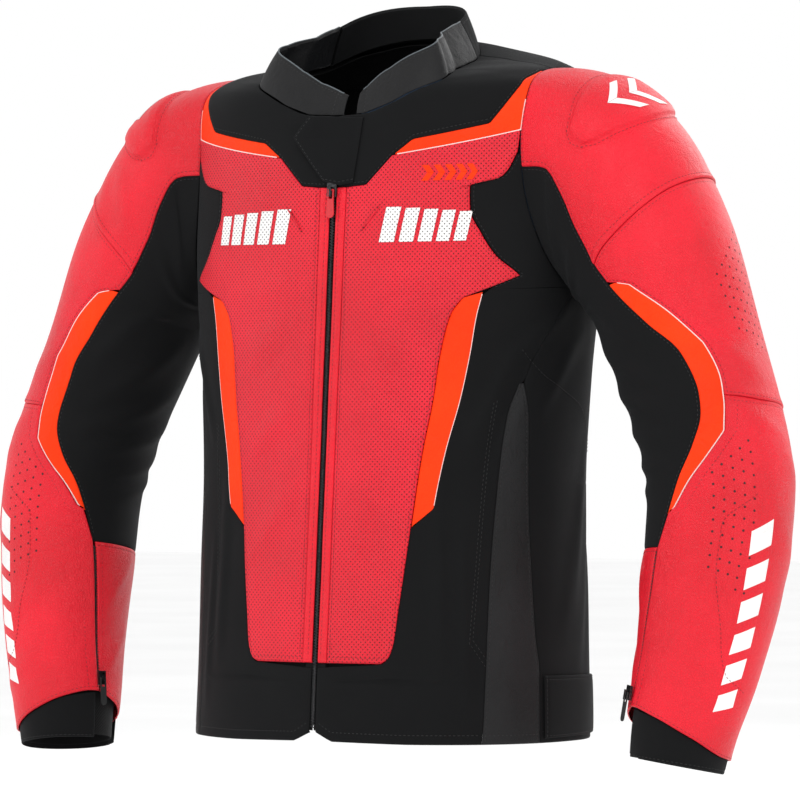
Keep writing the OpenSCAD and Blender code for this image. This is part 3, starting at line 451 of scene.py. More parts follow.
# Sleeve holes are dark discs: the dark lining seen through them, plus painted shade inside each hole.
HOLE_SHADE = plain("punched_hole_shade", (0.03, 0.0015, 0.003), (0.06, 0.002, 0.005), 0.8)
FOAM = plain("armour_foam", (0.02, 0.04, 0.075), (0.03, 0.055, 0.1), 0.85, scale=700.0, depth=0.0002)
TAPE = woven("zip_tape", (0.002, 0.002, 0.0022), (0.006, 0.006, 0.0065), 0.0008, 0.00015)
METAL = plain("zip_metal", (0.03, 0.03, 0.032), (0.08, 0.08, 0.084), 0.34, 1.0, 500.0)
RUBBER = plain("red_rubber", (0.42, 0.006, 0.012), (0.52, 0.010, 0.018), 0.5, scale=800.0)
BLACK_RUBBER = plain("black_rubber", (0.006, 0.006, 0.0065), (0.012, 0.012, 0.0125), 0.5, scale=800.0)
print("cloth, thread, foam, tape, metal and rubber")

# %% [markdown]
# ## Seam lines
# A pattern cutter's chalk lines are smooth curves with a few real corners. Each line is given by a
# few points in `u, v`; a curve that never overshoots joins them, except where a corner is marked.
# Neighbouring panels cut their edges from the same line, so they always meet.

# %% Smooth lines
def smooth(points, axis, corners=()):
    points = np.array(points, float)
    cuts = [0, *corners, len(points) - 1]
    out = []
    for first, last in zip(cuts, cuts[1:]):
        part = points[first:last + 1]
        x, y = part[:, axis], part[:, 1 - axis]
        h, d = np.diff(x), np.diff(y) / np.diff(x)
        slope = np.zeros_like(x)
        slope[0], slope[-1] = d[0], d[-1]
        for i in range(1, len(x) - 1):
            if d[i - 1] * d[i] > 0:
                w1, w2 = 2 * h[i] + h[i - 1], h[i] + 2 * h[i - 1]
                slope[i] = (w1 + w2) / (w1 / d[i - 1] + w2 / d[i])
        for i in range(len(x) - 1):
            t = np.linspace(0, 1, 9)[(0 if not out else 1):]
            xx = x[i] + t * h[i]
            yy = ((2 * t**3 - 3 * t**2 + 1) * y[i] + (t**3 - 2 * t**2 + t) * h[i] * slope[i]
                  + (-2 * t**3 + 3 * t**2) * y[i + 1] + (t**3 - t**2) * h[i] * slope[i + 1])
            out.extend(np.stack([xx, yy] if axis == 0 else [yy, xx], -1))
    return np.array(out)


def cut(line, low, high, axis=1):
    """The part of a line whose coordinate on the axis runs from low to high."""
    a = line[:, axis]
    order = 1 if a[-1] > a[0] else -1
    ends = [[np.interp(order * e, order * a, line[:, i]) for i in (0, 1)] for e in (low, high)]
    inside = line[(order * a > order * low + 1e-6) & (order * a < order * high - 1e-6)]
    return np.vstack([ends[0], inside, ends[1]])


def joined(*parts):
    return np.vstack([np.atleast_2d(np.array(p, float)) for p in parts])


def across(line):
    """The same line on the other half of the body."""
    return line * [-1, 1] + [360, 0]


def whole(half):
    """A line that runs on over the middle of the back to the other half."""
    return joined(half, across(half)[::-1][1:])


def between(left, right):
    """Four seam lines, of which the lower and the upper run straight across."""
    return left, right, joined(left[0], right[0]), joined(left[-1], right[-1])


def box(u0, u1, v0, v1):
    return between(joined([u0, v0], [u0, v1]), joined([u1, v0], [u1, v1]))


print("line helpers ready")

# %% The seams of the body
def front_angle(x):
    return math.degrees(math.asin((x / 196) ** (2.35 / 2)))


def ARM(first, last, n):
    return armhole_uv(np.linspace(first, last, n))


ZIP_U, PLACKET_U = front_angle(3.2), front_angle(13.2)
FOOT, TOP, YOKE_POINT = 0.62, 5.44, [13.5, 5.92]
ARMPIT, SHOULDER_TOP = armhole_uv(180), armhole_uv(0)
WING, STRIP_ARM, STRIP_END = armhole_uv(82), ARM(82, 14, 15), armhole_uv(14) + [0, 0.06]
STRIP_FOOT = [19, 6.18]
STRIP_TOP = joined(STRIP_FOOT, smooth([[43, 6.4], [57, 7.2], [64, 7.56], [72, 7.76], STRIP_END], 0))
YOKE_FOOT = joined([[PLACKET_U, TOP + 0.005], [7, 5.47]], YOKE_POINT, STRIP_TOP)
SHOULDER_SEAM = smooth([SHOULDER_TOP, [91, 8.7], [97, 9.25], [105, 9.92]], 1)
PANEL_EDGE = smooth([[17, FOOT], [19, 0.65], [20.6, 0.74], [21.6, 0.92], [25, 1.6], [28, 2.3],
                     [30, 2.8], [31, 3.25], [33.5, 3.8], [37, 4.0], [57, 4.25], [47, 4.5], [41, 4.8],
                     [37.5, 5.05], [36.8, 5.42], [47, 5.52], [53, 5.9]], 1, [3, 9, 10])
STRIP_EDGE = smooth([[32, 1.72], [35, 2.2], [39, 2.8], [41, 3.3], [42, 3.75], [43.5, 4.06]], 1)
INSERT_FRONT = smooth([[50, 0], [51, 0.6], [52, 1.2], [54, 1.8], [57, 2.6], [61, 2.95]], 1)
INSERT_BACK = smooth([[73, 0], [73, 0.55], [71, 0.8], [68, 1.6], [66, 2.55], [63, 2.95]], 1)
UNDERARM = smooth([[63, 2.96], [66, 3.2], [80, 3.9], ARMPIT], 1)
BACK_EDGE = smooth([[146, FOOT], [143, 1.6], [139, 3], [137, 4.2], [134, 5.6], [128, 6.7], [124, 7.32]], 1)
STRIP_BACK = smooth([[131, 1.9], [129, 3.2], [128, 4.5], [127, 5.6], [124, 6.35]], 1)
NECK_LINE = smooth(NECK, 0)
YOKE_BACK_FOOT = joined(ARM(0, -40, 9), smooth([[124, 7.32], [150, 7.14], [180, 7.08]], 0))
SIDE_ROW = 4.09
print("body seam lines: ", len(PANEL_EDGE), "points on the front panel's edge")

# %% The seams of the sleeve
BACK_LINE = smooth([[-100, 0.0], [-100, 2.5], [-112, 3.6], [-122, 4.9], [-132, 5.9], [-140, 6.75],
                    [-145, 9.3]], 1)
STRETCH_FRONT = smooth([[100, 0.0], [99, 0.9], [103, 1.8], [107, 2.3], [108, 2.87], [105, 3.2], [91, 3.8],
                        [79, 4.3], [78, 4.7], [81, 5.05], [93, 5.45], [110, 5.9], [122, 6.35],
                        [131, 6.75]], 1)
STRIP_OUTER = smooth([[105, 3.2], [89, 3.35], [71, 3.8], [60, 4.25], [58, 4.6], [60, 4.9], [66, 5.35],
                      [86, 5.7], [100, 5.95], [115, 6.3], [122, 6.35]], 1, [1, 3, 6, 9])
ZIP_LINE = smooth([[131, 6.75], [134, 7.1], [148, 8.95]], 1)
CUFF_LINE = smooth([[-145, 9.3], [-60, 9.6], [15, 9.55], [70, 9.25], [107, 9.05], [142, 8.95],
                    [148, 8.95]], 0)
ARM_SEAM = smooth([[-100, 2.5], [-40, 2.42], [30, 2.5], [80, 2.72], [108, 2.87]], 0)
ELBOW_SEAM = smooth([[-122, 4.9], [-40, 4.96], [20, 4.98], [60, 4.9]], 0)
print("sleeve seam lines ready")

# %% [markdown]
# ## One panel
# Between four seam lines a panel is a stretched net. `create_grid` gives a flat net; each of its
# points is then moved to its place: blended between the four lines, lifted off the body shape by
# the folds, rolled down at the sewn edges, and pressed in under each row of stitches. The net's
# lines crowd towards the edges, because that is where leather bends most. A Solidify modifier gives
# the leather its thickness, inwards.

# %% Panel maker
EDGE_LINES = np.array([0, 0.25, 0.7, 1.4, 2.1, 2.8, 3.6, 5.0])
LEATHER_T, CLOTH_T = 1.3, 1.1
WHOLE = {}


def along(line, axis, k):
    a = (line[:, axis] - line[0, axis]) / (line[-1, axis] - line[0, axis])
    return np.stack([np.interp(k, a, line[:, i]) for i in (0, 1)], -1)


def patch_of(left, right, bottom, top):
    left, right, bottom, top = (np.array(line, float) for line in (left, right, bottom, top))

    def patch(s, t):
        a, b, c, d = along(left, 1, t), along(right, 1, t), along(bottom, 0, s), along(top, 0, s)
        s, t = s[..., None], t[..., None]
        return ((1 - s) * a + s * b + (1 - t) * c + t * d - (1 - s) * (1 - t) * left[0]
                - s * (1 - t) * right[0] - (1 - s) * t * left[-1] - s * t * right[-1])
    return patch


def crowded(lines, length):
    """Shares of a width at which net lines run, close together near both ends."""
    k = len(EDGE_LINES)
    ends = EDGE_LINES * np.minimum(1, length / 24)[..., None] / length[..., None]
    middle = np.linspace(0, 1, lines - 2 * k + 2)[1:-1]
    inner = ends[..., -1:] + (1 - 2 * ends[..., -1:]) * middle
    return np.concatenate([ends, inner, 1 - ends[..., ::-1]], -1)


class Skin:
    """A panel's own surface: where(s, t) gives points in millimetres and outward directions."""

    def __init__(self, surface, lines, roll=0, mirror=False, over=0.0, dip=(1.3,) * 4, round_r=2.4,
                 grooves=(), groove=0.4, puff=0.5, lift=(0, 0, 0, 0), extra=None):
        self.surface, self.roll, self.mirror, self.over = surface, roll, mirror, over
        self.dip, self.round_r, self.grooves, self.groove = dip, round_r, grooves, groove
        self.puff, self.lift, self.extra = puff, lift, extra
        self.patch = patch_of(*lines)
        self.shape = SURFACES[surface][0]
        k, fine = np.linspace(0, 1, 41), np.linspace(0, 1, 33)
        s, t = np.meshgrid(fine, k)
        self.knots, self.widths, self.lengths = k, self.measure(s, t, 1), self.measure(t, s, 1)

    def measure(self, s, t, axis):
        uv = self.patch(s, t)
        p = self.shape(uv[..., 0], uv[..., 1], self.roll)
        return np.maximum(np.linalg.norm(np.diff(p, axis=axis), axis=-1).sum(-1), 0.5)

    def width(self, t):
        return np.interp(t, self.knots, self.widths)

    def length(self, s):
        return np.interp(s, self.knots, self.lengths)

    def where(self, s, t):
        uv = self.patch(s, t)
        u, v = uv[..., 0], uv[..., 1]
        p = self.shape(u, v, self.roll)
        n = outward_at(self.surface, u, v, self.roll)
        w, h = self.width(t), self.length(s)
        sides = (s * w, (1 - s) * w, t * h, (1 - t) * h)
        up = self.over + folds(self.surface, u, v, self.mirror)
        near = np.minimum.reduce(sides)
        up = up + self.puff * (1 - np.exp(-near / 7))
        for d, dip, lift in zip(sides, self.dip, self.lift):
            k = 1 - np.clip(d / self.round_r, 0, 1)
            up = up - dip * (1 - np.sqrt(np.maximum(1 - k * k, 0))) + lift * np.exp(-(d / 7) ** 2)
        for which, distance in self.grooves:
            up = up - self.groove * np.exp(-((sides[which] - distance) / 0.75) ** 2)
        if self.extra:
            up = up + self.extra(u, v, s, t, sides)
        p = p + n * up[..., None]
        if self.mirror:
            p, n = p * [-1, 1, 1], n * [-1, 1, 1]
        return p, n

    def row(self, side, distance, first=0.01, last=0.99):
        """Points and outward directions along one side, a distance in from it."""
        k = np.linspace(first, last, 161)
        if side < 2:
            share = distance / self.width(k)
            return self.where(share if side == 0 else 1 - share, k)
        share = distance / self.length(k)
        return self.where(k, share if side == 2 else 1 - share)


def girths(shape, top):
    """Arc length round a shape from u = 0, on a table of u and v."""
    u, v = np.meshgrid(np.arange(-180, 541, 3.0), np.linspace(0, top, 41))
    steps = np.linalg.norm(np.diff(shape(u, v, 0), axis=1), axis=-1)
    run = np.concatenate([np.zeros((41, 1)), np.cumsum(steps, 1)], 1)
    return run - run[:, 60:61]


TOPS = {"torso": 10, "sleeve": 10, "collar": 1}
GIRTHS = {name: girths(SURFACES[name][0], top) for name, top in TOPS.items()}


def laid_flat(surface, u, v, p):
    """Map coordinates in metres: round the shape, and up it."""
    table, top = GIRTHS[surface], TOPS[surface]
    x, y = np.clip((u + 180) / 3, 0, 239.999), np.clip(v / top * 40, 0, 39.999)
    i, j = x.astype(int), y.astype(int)
    a, b = x - i, y - j
    around = ((1 - a) * (1 - b) * table[j, i] + a * (1 - b) * table[j, i + 1]
              + (1 - a) * b * table[j + 1, i] + a * b * table[j + 1, i + 1])
    up = {"torso": p[..., 2], "sleeve": SLEEVE_ROW * v, "collar": COLLAR_FRONT_H * v}[surface]
    return np.stack([around, up], -1) * MM


def flat_net(bm, columns, rows):
    """A new flat net and the column and row of each of its points."""
    made = bmesh.ops.create_grid(bm, x_segments=columns - 1, y_segments=rows - 1, size=1)["verts"]
    flat = np.array([v.co[:2] for v in made])
    low, high = flat.min(0), flat.max(0)
    return made, np.rint((flat - low) / (high - low) * [columns - 1, rows - 1]).astype(int)


def finished(name, bm, material):
    mesh = bpy.data.meshes.new(name)
    bm.to_mesh(mesh)
    bm.free()
    mesh.shade_smooth()
    mesh.materials.append(material)
    piece = bpy.data.objects.new(name, mesh)
    bpy.context.scene.collection.objects.link(piece)
    return piece


def net(name, skins, material, thickness, cell=4.0):
    skins = skins if isinstance(skins, list) else [skins]
    bm, maps = bmesh.new(), []
    for skin in skins:
        columns = int(min(190, max(17, np.ceil(skin.widths.max() / cell) + 16)))
        rows = int(min(190, max(17, np.ceil(skin.lengths.max() / cell) + 16)))
        s = crowded(columns, skin.width(np.linspace(0, 1, rows)))
        t = crowded(rows, skin.length(np.linspace(0, 1, columns))).T
        p, n = skin.where(s, t)
        made, index = flat_net(bm, columns, rows)
        for vert, (i, j) in zip(made, index):
            vert.co = p[j, i] * MM
        uv = skin.patch(s, t)
        maps.append(laid_flat(skin.surface, uv[..., 0], uv[..., 1], p)[index[:, 1], index[:, 0]])
        bm.normal_update()
        middle = made[len(made) // 2]
        i, j = index[len(made) // 2]
        if middle.normal.dot(Vector(n[j, i])) < 0:
            bmesh.ops.reverse_faces(bm, faces=list({face for vert in made for face in vert.link_faces}))
    piece = finished(name + "_sewn", bm, material)
    corner = np.empty(len(piece.data.loops), np.int32)
    piece.data.loops.foreach_get("vertex_index", corner)
    uv = np.concatenate(maps)[corner]
    piece.data.uv_layers.new(name="UVMap").data.foreach_set("uv", uv.astype(np.float32).ravel())
    if thickness:
        wall = piece.modifiers.new("thickness", "SOLIDIFY")
        wall.thickness = thickness * MM
        wall.offset = -1
    WHOLE[piece.name] = skins[0]
    return piece


print("panel maker ready")

# %% [markdown]
# ## Where the sleeve bends
# Cloth at the armhole can't swing like a door, so the sleeve's formula already blends its first rings into the
# body. Here a piece that rides on no body of its own has its place baked into its points, and the others are
# parented to an empty for their body.

# %% Riding helpers
SIDES = {"left": 1, "right": -1}


def bend(piece):
    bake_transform(piece)


def cloth(piece):
    """Works out the size a piece was cut to, from its skin and its area; nothing is done with it."""
    skin = WHOLE[piece.name]
    area = sum(face.area for face in piece.data.polygons)
    w, h = skin.widths.max() * MM * 1.05, skin.lengths.max() * MM * 1.05
    if area < 0.35 * w * h:
        w, h = (area / 0.5 / h, h) if h > w else (w, area / 0.5 / w)


def worn(piece, body):
    if body is None:
        bend(piece)
    else:
        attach(piece, body)
    return piece


# %% [markdown]
# ## Stitches and beads
# Topstitching is what makes a sewn thing look sewn. Each stitch is a small ball, drawn out along
# its row, and it lies in the groove that the thread pulls into the leather. One ball is made once,
# and its points are moved for each stitch. A piping bead is a flat net rolled up round a row.

# %% Stitches
STITCH_PITCH, STITCH_LENGTH, STITCH_WIDTH, STITCH_HEIGHT = 4.1, 1.4, 0.36, 0.3
bm = bmesh.new()
bmesh.ops.create_uvsphere(bm, u_segments=6, v_segments=4, radius=1)
STITCH = bpy.data.meshes.new("one_stitch")
bm.to_mesh(STITCH)
BALL = np.array([v.co for v in bm.verts])
bm.free()


def evenly(p, n, pitch):
    """Points at an even pitch along a row, with their directions along, across and outwards."""
    run = np.concatenate([[0], np.cumsum(np.linalg.norm(np.diff(p, axis=0), axis=-1))])
    at = np.arange(pitch / 2, run[-1], pitch)
    def read(a, where):
        return np.stack([np.interp(where, run, a[:, i]) for i in range(3)], -1)
    ahead, up = unit(read(p, at + 0.8) - read(p, at - 0.8)), unit(read(n, at))
    return read(p, at), ahead, unit(np.cross(up, ahead)), up


def stamp(bm, shape, points, spot, ahead, across_row, up):
    """Adds one copy of a small mesh, turned to lie along a row."""
    moved = spot + points[:, :1] * ahead + points[:, 1:2] * across_row + points[:, 2:] * up
    shape.vertices.foreach_set("co", (moved * MM).astype(np.float32).ravel())
    bm.from_mesh(shape)


def sew(bm, p, n, pitch=STITCH_PITCH):
    size = BALL * [STITCH_LENGTH, STITCH_WIDTH, STITCH_HEIGHT]
    for spot, ahead, aside, up in zip(*evenly(p, n, pitch)):
        stamp(bm, STITCH, size, spot + up * 0.12, ahead, aside, up)


def bead(bm, p, n, radius, sides=8):
    """A round tube along a row of points, closed at both ends."""
    ahead = unit(np.gradient(p, axis=0))
    up = unit(n - ahead * (n * ahead).sum(-1, keepdims=True))
    aside = np.cross(ahead, up)
    made, index = flat_net(bm, sides + 1, len(p))
    for vert, (i, j) in zip(made, index):
        a = 2 * math.pi * i / sides
        vert.co = (p[j] + radius * (math.cos(a) * aside[j] + math.sin(a) * up[j])) * MM
    bmesh.ops.remove_doubles(bm, verts=made, dist=1e-6)
    bmesh.ops.holes_fill(bm, edges=[edge for edge in bm.edges if edge.is_boundary])
    bmesh.ops.recalc_face_normals(bm, faces=bm.faces)


def topstitch(piece, body, slot):
    skin = WHOLE[piece.name]
    if skin.grooves:
        bm = bmesh.new()
        for which, distance in skin.grooves:
            sew(bm, *skin.row(which, distance))
        thread = RED_THREAD if slot in ("red_leather", "perforated_leather") else BLACK_THREAD
        worn(finished(piece.name.replace("_sewn", "_stitches"), bm, thread), body)


SLOTS = {"perforated_leather": (PERFORATED, LEATHER_T), "red_leather": (RED, LEATHER_T),
         "orange_leather": (ORANGE, LEATHER_T), "grey_leather": (GREY, LEATHER_T),
         "black_stretch": (STRETCH, CLOTH_T), "lining": (LINING, 0.7), "armour_foam": (FOAM, 7.0)}


def sewn(name, slot, lines, surface="torso", body="torso", side=None, node=None, cell=4.0,
         thickness=None, held="stretched", fill=None, **shape):
    """One whole panel: its net, what it rides on and stands for, and its stitches; how it is held (held) is
    not used.
    """
    material, usual = SLOTS[slot]
    piece = net(name, Skin(surface, lines, **shape), material, thickness or usual, cell)
    worn(piece, body)
    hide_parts(node or name)
    topstitch(piece, body, slot)
    if fill:
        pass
    else:
        cloth(piece)


def chalk(surface, line, over=1.3, roll=0, mirror=False):
    """Points and outward directions along a line drawn on a shape, over its folds."""
    line = np.array(line, float)
    u, v = line[:, 0], line[:, 1]
    p, n = SURFACES[surface][0](u, v, roll), outward_at(surface, u, v, roll)
    p = p + n * (over + folds(surface, u, v, mirror))[:, None]
    return (p * [-1, 1, 1], n * [-1, 1, 1]) if mirror else (p, n)


print("one stitch has", len(STITCH.polygons), "faces")

# %% [markdown]
# ## Front of the body
# The two perforated front panels carry the look of the jacket: a tapered breastplate shape with a
# pointed wing at each side. They lie over the black stretch cloth, so they sit a little prouder and
# their edges roll down to it. The narrow plackets beside the zip are smooth leather.

# %% Front panels and plackets
def two_sided(make):
    for name in SIDES:
        make(name, name == "right")


def front(side, mirror):
    foot, top = [PLACKET_U, FOOT], [PLACKET_U, TOP]
    lines = (joined(foot, top), joined(PANEL_EDGE, WING), joined(foot, PANEL_EDGE[0]),
             joined(top, [7, 5.47], YOKE_POINT, WING))
    sewn("front_panel_" + side, "perforated_leather", lines, mirror=mirror, over=0.7,
         dip=(1.1, 1.9, 1.9, 1.5), grooves=[(1, 3.2), (0, 2.6), (2, 3.2)])
    sewn("placket_" + side, "red_leather", box(ZIP_U, PLACKET_U, FOOT, TOP), cell=3.0, mirror=mirror,
         over=0.9, dip=(1.6, 1.2, 1.4, 1.0), round_r=2.0, grooves=[(0, 3.4)], puff=0.7)


two_sided(front)
print("front panels", WHOLE["front_panel_left_sewn"].widths.max().round(), "mm wide")

# %% Black yoke over the chest
def yoke(side, mirror):
    foot = [ZIP_U, TOP + 0.01]
    lines = (joined(foot, [ZIP_U, 6.0], [0.6, 6.65]), SHOULDER_SEAM,
             joined(foot, YOKE_FOOT, SHOULDER_TOP), cut(NECK_LINE, 0.6, 105, 0))
    sewn("yoke_front_" + side, "black_stretch", lines, mirror=mirror, over=0.5,
         dip=(0.8, 0.9, 1.2, 1.0), grooves=[(2, 2.6)], puff=0.2)


two_sided(yoke)
print("yoke sewn to the neck, the shoulder and the chest strips")

# %% [markdown]
# ## Orange strips
# Thin smooth strips follow the edges of the breastplate: one from the middle of the chest up to the
# shoulder, one down each side and one each side of the back. A pale piping edges them.

# %% Strips
def strips(side, mirror):
    point = np.array(YOKE_POINT)
    tip = point + (STRIP_FOOT - point) * 0.12
    low = point + (WING - point) * (tip[0] - point[0]) / (WING[0] - point[0])
    chest = (joined(low, tip), joined(STRIP_ARM[-1], STRIP_END),
             joined(low, STRIP_ARM), joined(tip, STRIP_TOP))
    edge = cut(PANEL_EDGE, 1.58, 4.0)
    flank = (edge, STRIP_EDGE, joined([25, 1.58], STRIP_EDGE[0]), joined(edge[-1], STRIP_EDGE[-1]))
    back = between(STRIP_BACK, smooth([[142.2, 1.86], [139, 3], [137, 4.2], [134, 5.6], [129.2, 6.5]], 1))
    for name, lines, over, dip in (("chest_strip", chest, 0.1, (0.3, 0.3, 0.9, 1.0)),
                                   ("side_strip", flank, 0.0, (1.0, 0.9, 0.8, 0.8)),
                                   ("back_strip", back, 0.2, (1.0, 1.0, 0.8, 0.8))):
        sewn(name + "_" + side, "orange_leather", lines, node=name + "s", cell=3.0, mirror=mirror,
             over=over, dip=dip, puff=0.3)


two_sided(strips)
print("six strips")

# %% [markdown]
# ## Black stretch sides
# Stretch cloth lets the rider bend: it fills the flanks under the arms and comes forward over the
# chest in two rounded flaps. On each side a grey leather insert takes the abrasion.

# %% Sides and inserts
def flanks(side, mirror):
    front_end, arm_end = [46, SIDE_ROW], [88, SIDE_ROW]
    lines = (joined([ZIP_U, 0.12], [ZIP_U, FOOT - 0.02], [17.1, FOOT - 0.01],
                    cut(PANEL_EDGE, 0.64, 1.57), STRIP_EDGE[:-1], front_end),
             joined(INSERT_FRONT, cut(UNDERARM, 2.97, 3.9), arm_end),
             joined([ZIP_U, 0.12], [4, 0.02], [25, 0], [50, 0]), joined(front_end, arm_end))
    sewn("front_lower_" + side, "black_stretch", lines, mirror=mirror, over=-0.2,
         dip=(0.6, 0.7, 1.6, 0.0), grooves=[(2, 12)], puff=0.2)
    edge = joined(front_end, cut(PANEL_EDGE, 4.12, 5.88) + [0.3, 0], armhole_uv(94))
    far = ARM(180, 94, 12)
    far[-1] += [2, 0.02]
    sewn("chest_side_" + side, "black_stretch", between(edge, far), node="chest_sides", mirror=mirror,
         over=-0.2, dip=(0.6, 0.7, 0.0, 0.5), grooves=[(0, 2.6)], puff=0.2)
    sewn("side_insert_" + side, "grey_leather", between(INSERT_FRONT, INSERT_BACK), mirror=mirror,
         over=0.3, dip=(1.1, 1.1, 1.4, 0.6), grooves=[(0, 2.6), (1, 2.6), (2, 12)])
    edge = joined(INSERT_BACK, cut(UNDERARM, 2.97, ARMPIT[1]), ARM(-166.5, -40, 14))
    far = joined([146, 0], [146, FOOT], [142.2, 1.85], STRIP_BACK, [128.6, 6.6], [124, 7.32])
    sewn("side_back_" + side, "black_stretch", between(edge, far), mirror=mirror, over=-0.1,
         dip=(0.7, 0.7, 1.6, 0.9), grooves=[(2, 12)], puff=0.2)


two_sided(flanks)
print("flanks: front, chest, insert and back on each side")

# %% [markdown]
# ## Back of the body
# One large perforated panel covers the back. Below it, ribs of gathered stretch cloth draw the
# waist in, and above it a black yoke runs round to the collar.

# %% Back
def ribs(u, v, s, t, sides):
    return 1.1 * (np.abs(np.sin(np.pi * sides[2] / 9.0)) - 0.5) * ease(np.minimum(sides[2], sides[3]) / 12)


ROUND = [(i, 3.2) for i in range(4)]
lines = (BACK_EDGE, across(BACK_EDGE), joined(BACK_EDGE[0], [214, FOOT]),
         smooth([[124, 7.32], [150, 7.14], [180, 7.08], [210, 7.14], [236, 7.32]], 0))
sewn("back_panel", "perforated_leather", lines, over=0.7, dip=(1.7, 1.7, 1.7, 1.5), grooves=ROUND)
BACK_NECK = whole(cut(NECK_LINE, 105, 180, 0))
lines = (SHOULDER_SEAM, across(SHOULDER_SEAM), whole(YOKE_BACK_FOOT), BACK_NECK)
sewn("yoke_back", "black_stretch", lines, over=0.4, dip=(0.9, 0.9, 1.0, 1.0), grooves=[(2, 2.6)], puff=0.2)
sewn("back_lower", "black_stretch", box(146, 214, 0, FOOT), cell=1.6, over=0.2,
     dip=(0.7, 0.7, 1.6, 0.9), puff=0.2, extra=ribs)
print("back panel, yoke and the ribbed stretch at the waist")

# %% [markdown]
# ## Sleeves
# Each sleeve has a leather shoulder cap, an upper arm panel, a forearm panel that wraps to the cuff
# zip, an inner forearm panel, and one long black stretch panel inside the arm. The cap laps over
# the upper arm with a raised welt, and so does the upper arm over the forearm.

# %% Sleeve panels
def arm(side, mirror):
    forearm = "sleeve_" + side

    def make(name, slot, body, lines, **more):
        sewn(name + "_" + side, slot, lines, "sleeve", body, side, roll=-SIDES[side] * FOREARM_ROLL,
             mirror=mirror, **more)

    lines = (cut(BACK_LINE, 0.02, 2.5), cut(STRETCH_FRONT, 0.02, 2.87),
             joined([-100, 0.02], [100, 0.02]), ARM_SEAM)
    make("shoulder_panel", "red_leather", None, lines, over=0.5, dip=(1.6, 1.5, 1.2, 1.8),
         lift=(0, 0, 0, 1.7), grooves=[(3, 5.0), (0, 3), (1, 3), (2, 3), (2, 6)])
    near = joined(cut(STRETCH_FRONT, 2.87, 3.2), cut(STRIP_OUTER, 3.21, 4.9))
    make("upper_arm_panel", "red_leather", None, (cut(BACK_LINE, 2.5, 4.9), near, ARM_SEAM, ELBOW_SEAM),
         over=0.3, dip=(1.6, 1.5, 0.6, 1.8), lift=(0, 0, 0.3, 1.5),
         grooves=[(2, 4.2), (3, 3.2), (0, 3), (1, 3)])
    near = joined(cut(STRIP_OUTER, 4.9, 6.34), cut(ZIP_LINE, 6.75, 8.95))
    make("forearm_panel", "red_leather", forearm, (cut(BACK_LINE, 4.9, 9.3), near, ELBOW_SEAM, CUFF_LINE),
         over=0.3, dip=(1.6, 1.6, 0.6, 1.8), lift=(0, 0.8, 0.3, 0.6),
         grooves=[(2, 4.2), (3, 4.0), (0, 3), (1, 11)])
    near, far = cut(STRETCH_FRONT, 3.24, 6.35), joined([103.4, 3.24], cut(STRIP_OUTER, 3.26, 6.34))
    lines = (near, far, joined(near[0], far[0]), joined([122, 6.35], [121.9, 6.34]))
    make("elbow_strip", "orange_leather", None, lines, cell=2.5, over=0.0, dip=(0.9, 0.9, 0.3, 0.3), puff=0.4)
    far = BACK_LINE[BACK_LINE[:, 1] <= 6.751] + [360, 0]
    lines = between(joined([100, 0.02], STRETCH_FRONT[1:]), joined([260, 0.02], far[1:]))
    make("arm_stretch", "black_stretch", None, lines, over=-0.1, dip=(0.7, 0.7, 1.0, 1.2),
         grooves=[(0, 2.6)], puff=0.2)
    lines = between(cut(ZIP_LINE, 6.75, 8.95) + [2.2, 0], joined([220, 6.75], [215, 9.3]))
    make("inner_forearm_panel", "red_leather", forearm, lines, over=0.2, dip=(1.6, 1.4, 1.4, 1.6),
         grooves=[(0, 6), (2, 3), (3, 4)])
    head = joined([-152, 9.35], cut(CUFF_LINE, -60, 107, 0) + [0, 0.01], [145, 8.97])
    lines = (joined([-152, 10], head[0]), joined([145, 10], head[-1]), joined([-152, 10], [145, 10]), head)
    make("cuff_band", "black_stretch", forearm, lines, over=-2.0, dip=(0.5, 0.5, 1.2, 0.0),
         grooves=[(2, 4)], puff=0.2)


two_sided(arm)
print("seven panels on each sleeve")

# %% [markdown]
# ## Thin printed films
# The guards, the chest and the forearms carry white prints. Here they are plain slanted bars and
# chevrons, each a thin film of its own that follows the leather, folds and all.

# %% Film helpers
def bar(surface, u0, u1, v0, v1, lean, over, roll=0, mirror=False, lift=0.0):
    """A slanted bar whose foot runs from u0 to u1; lift raises its right end."""
    left = joined([u0, v0], [u0 + lean, v1])
    right = joined([u1, v0 + lift], [u1 + lean, v1 + lift])
    return Skin(surface, between(left, right), roll=roll, mirror=mirror, over=over, dip=(0.12,) * 4,
                round_r=0.5, puff=0)


def printed(name, bars, material, body):
    return worn(net(name, bars, material, 0.25, 5.0), body)


print("a film is a quarter of a millimetre thick")

# %% [markdown]
# ## Padded guard and collar
# The shoulder guard is a hard cup under leather: it swells quickly from its sewn rim. The collar is
# two layers round soft foam, so its faces bulge and its top edge is round.

# %% Shoulder guards
def swell(u, v, s, t, sides):
    rim = np.minimum.reduce(sides)
    return 3.8 * ease(rim / 18) + 1.5 * ease((rim - 7) / 1.8) - 0.9 * np.exp(-((rim - 5.6) / 1.2) ** 2)


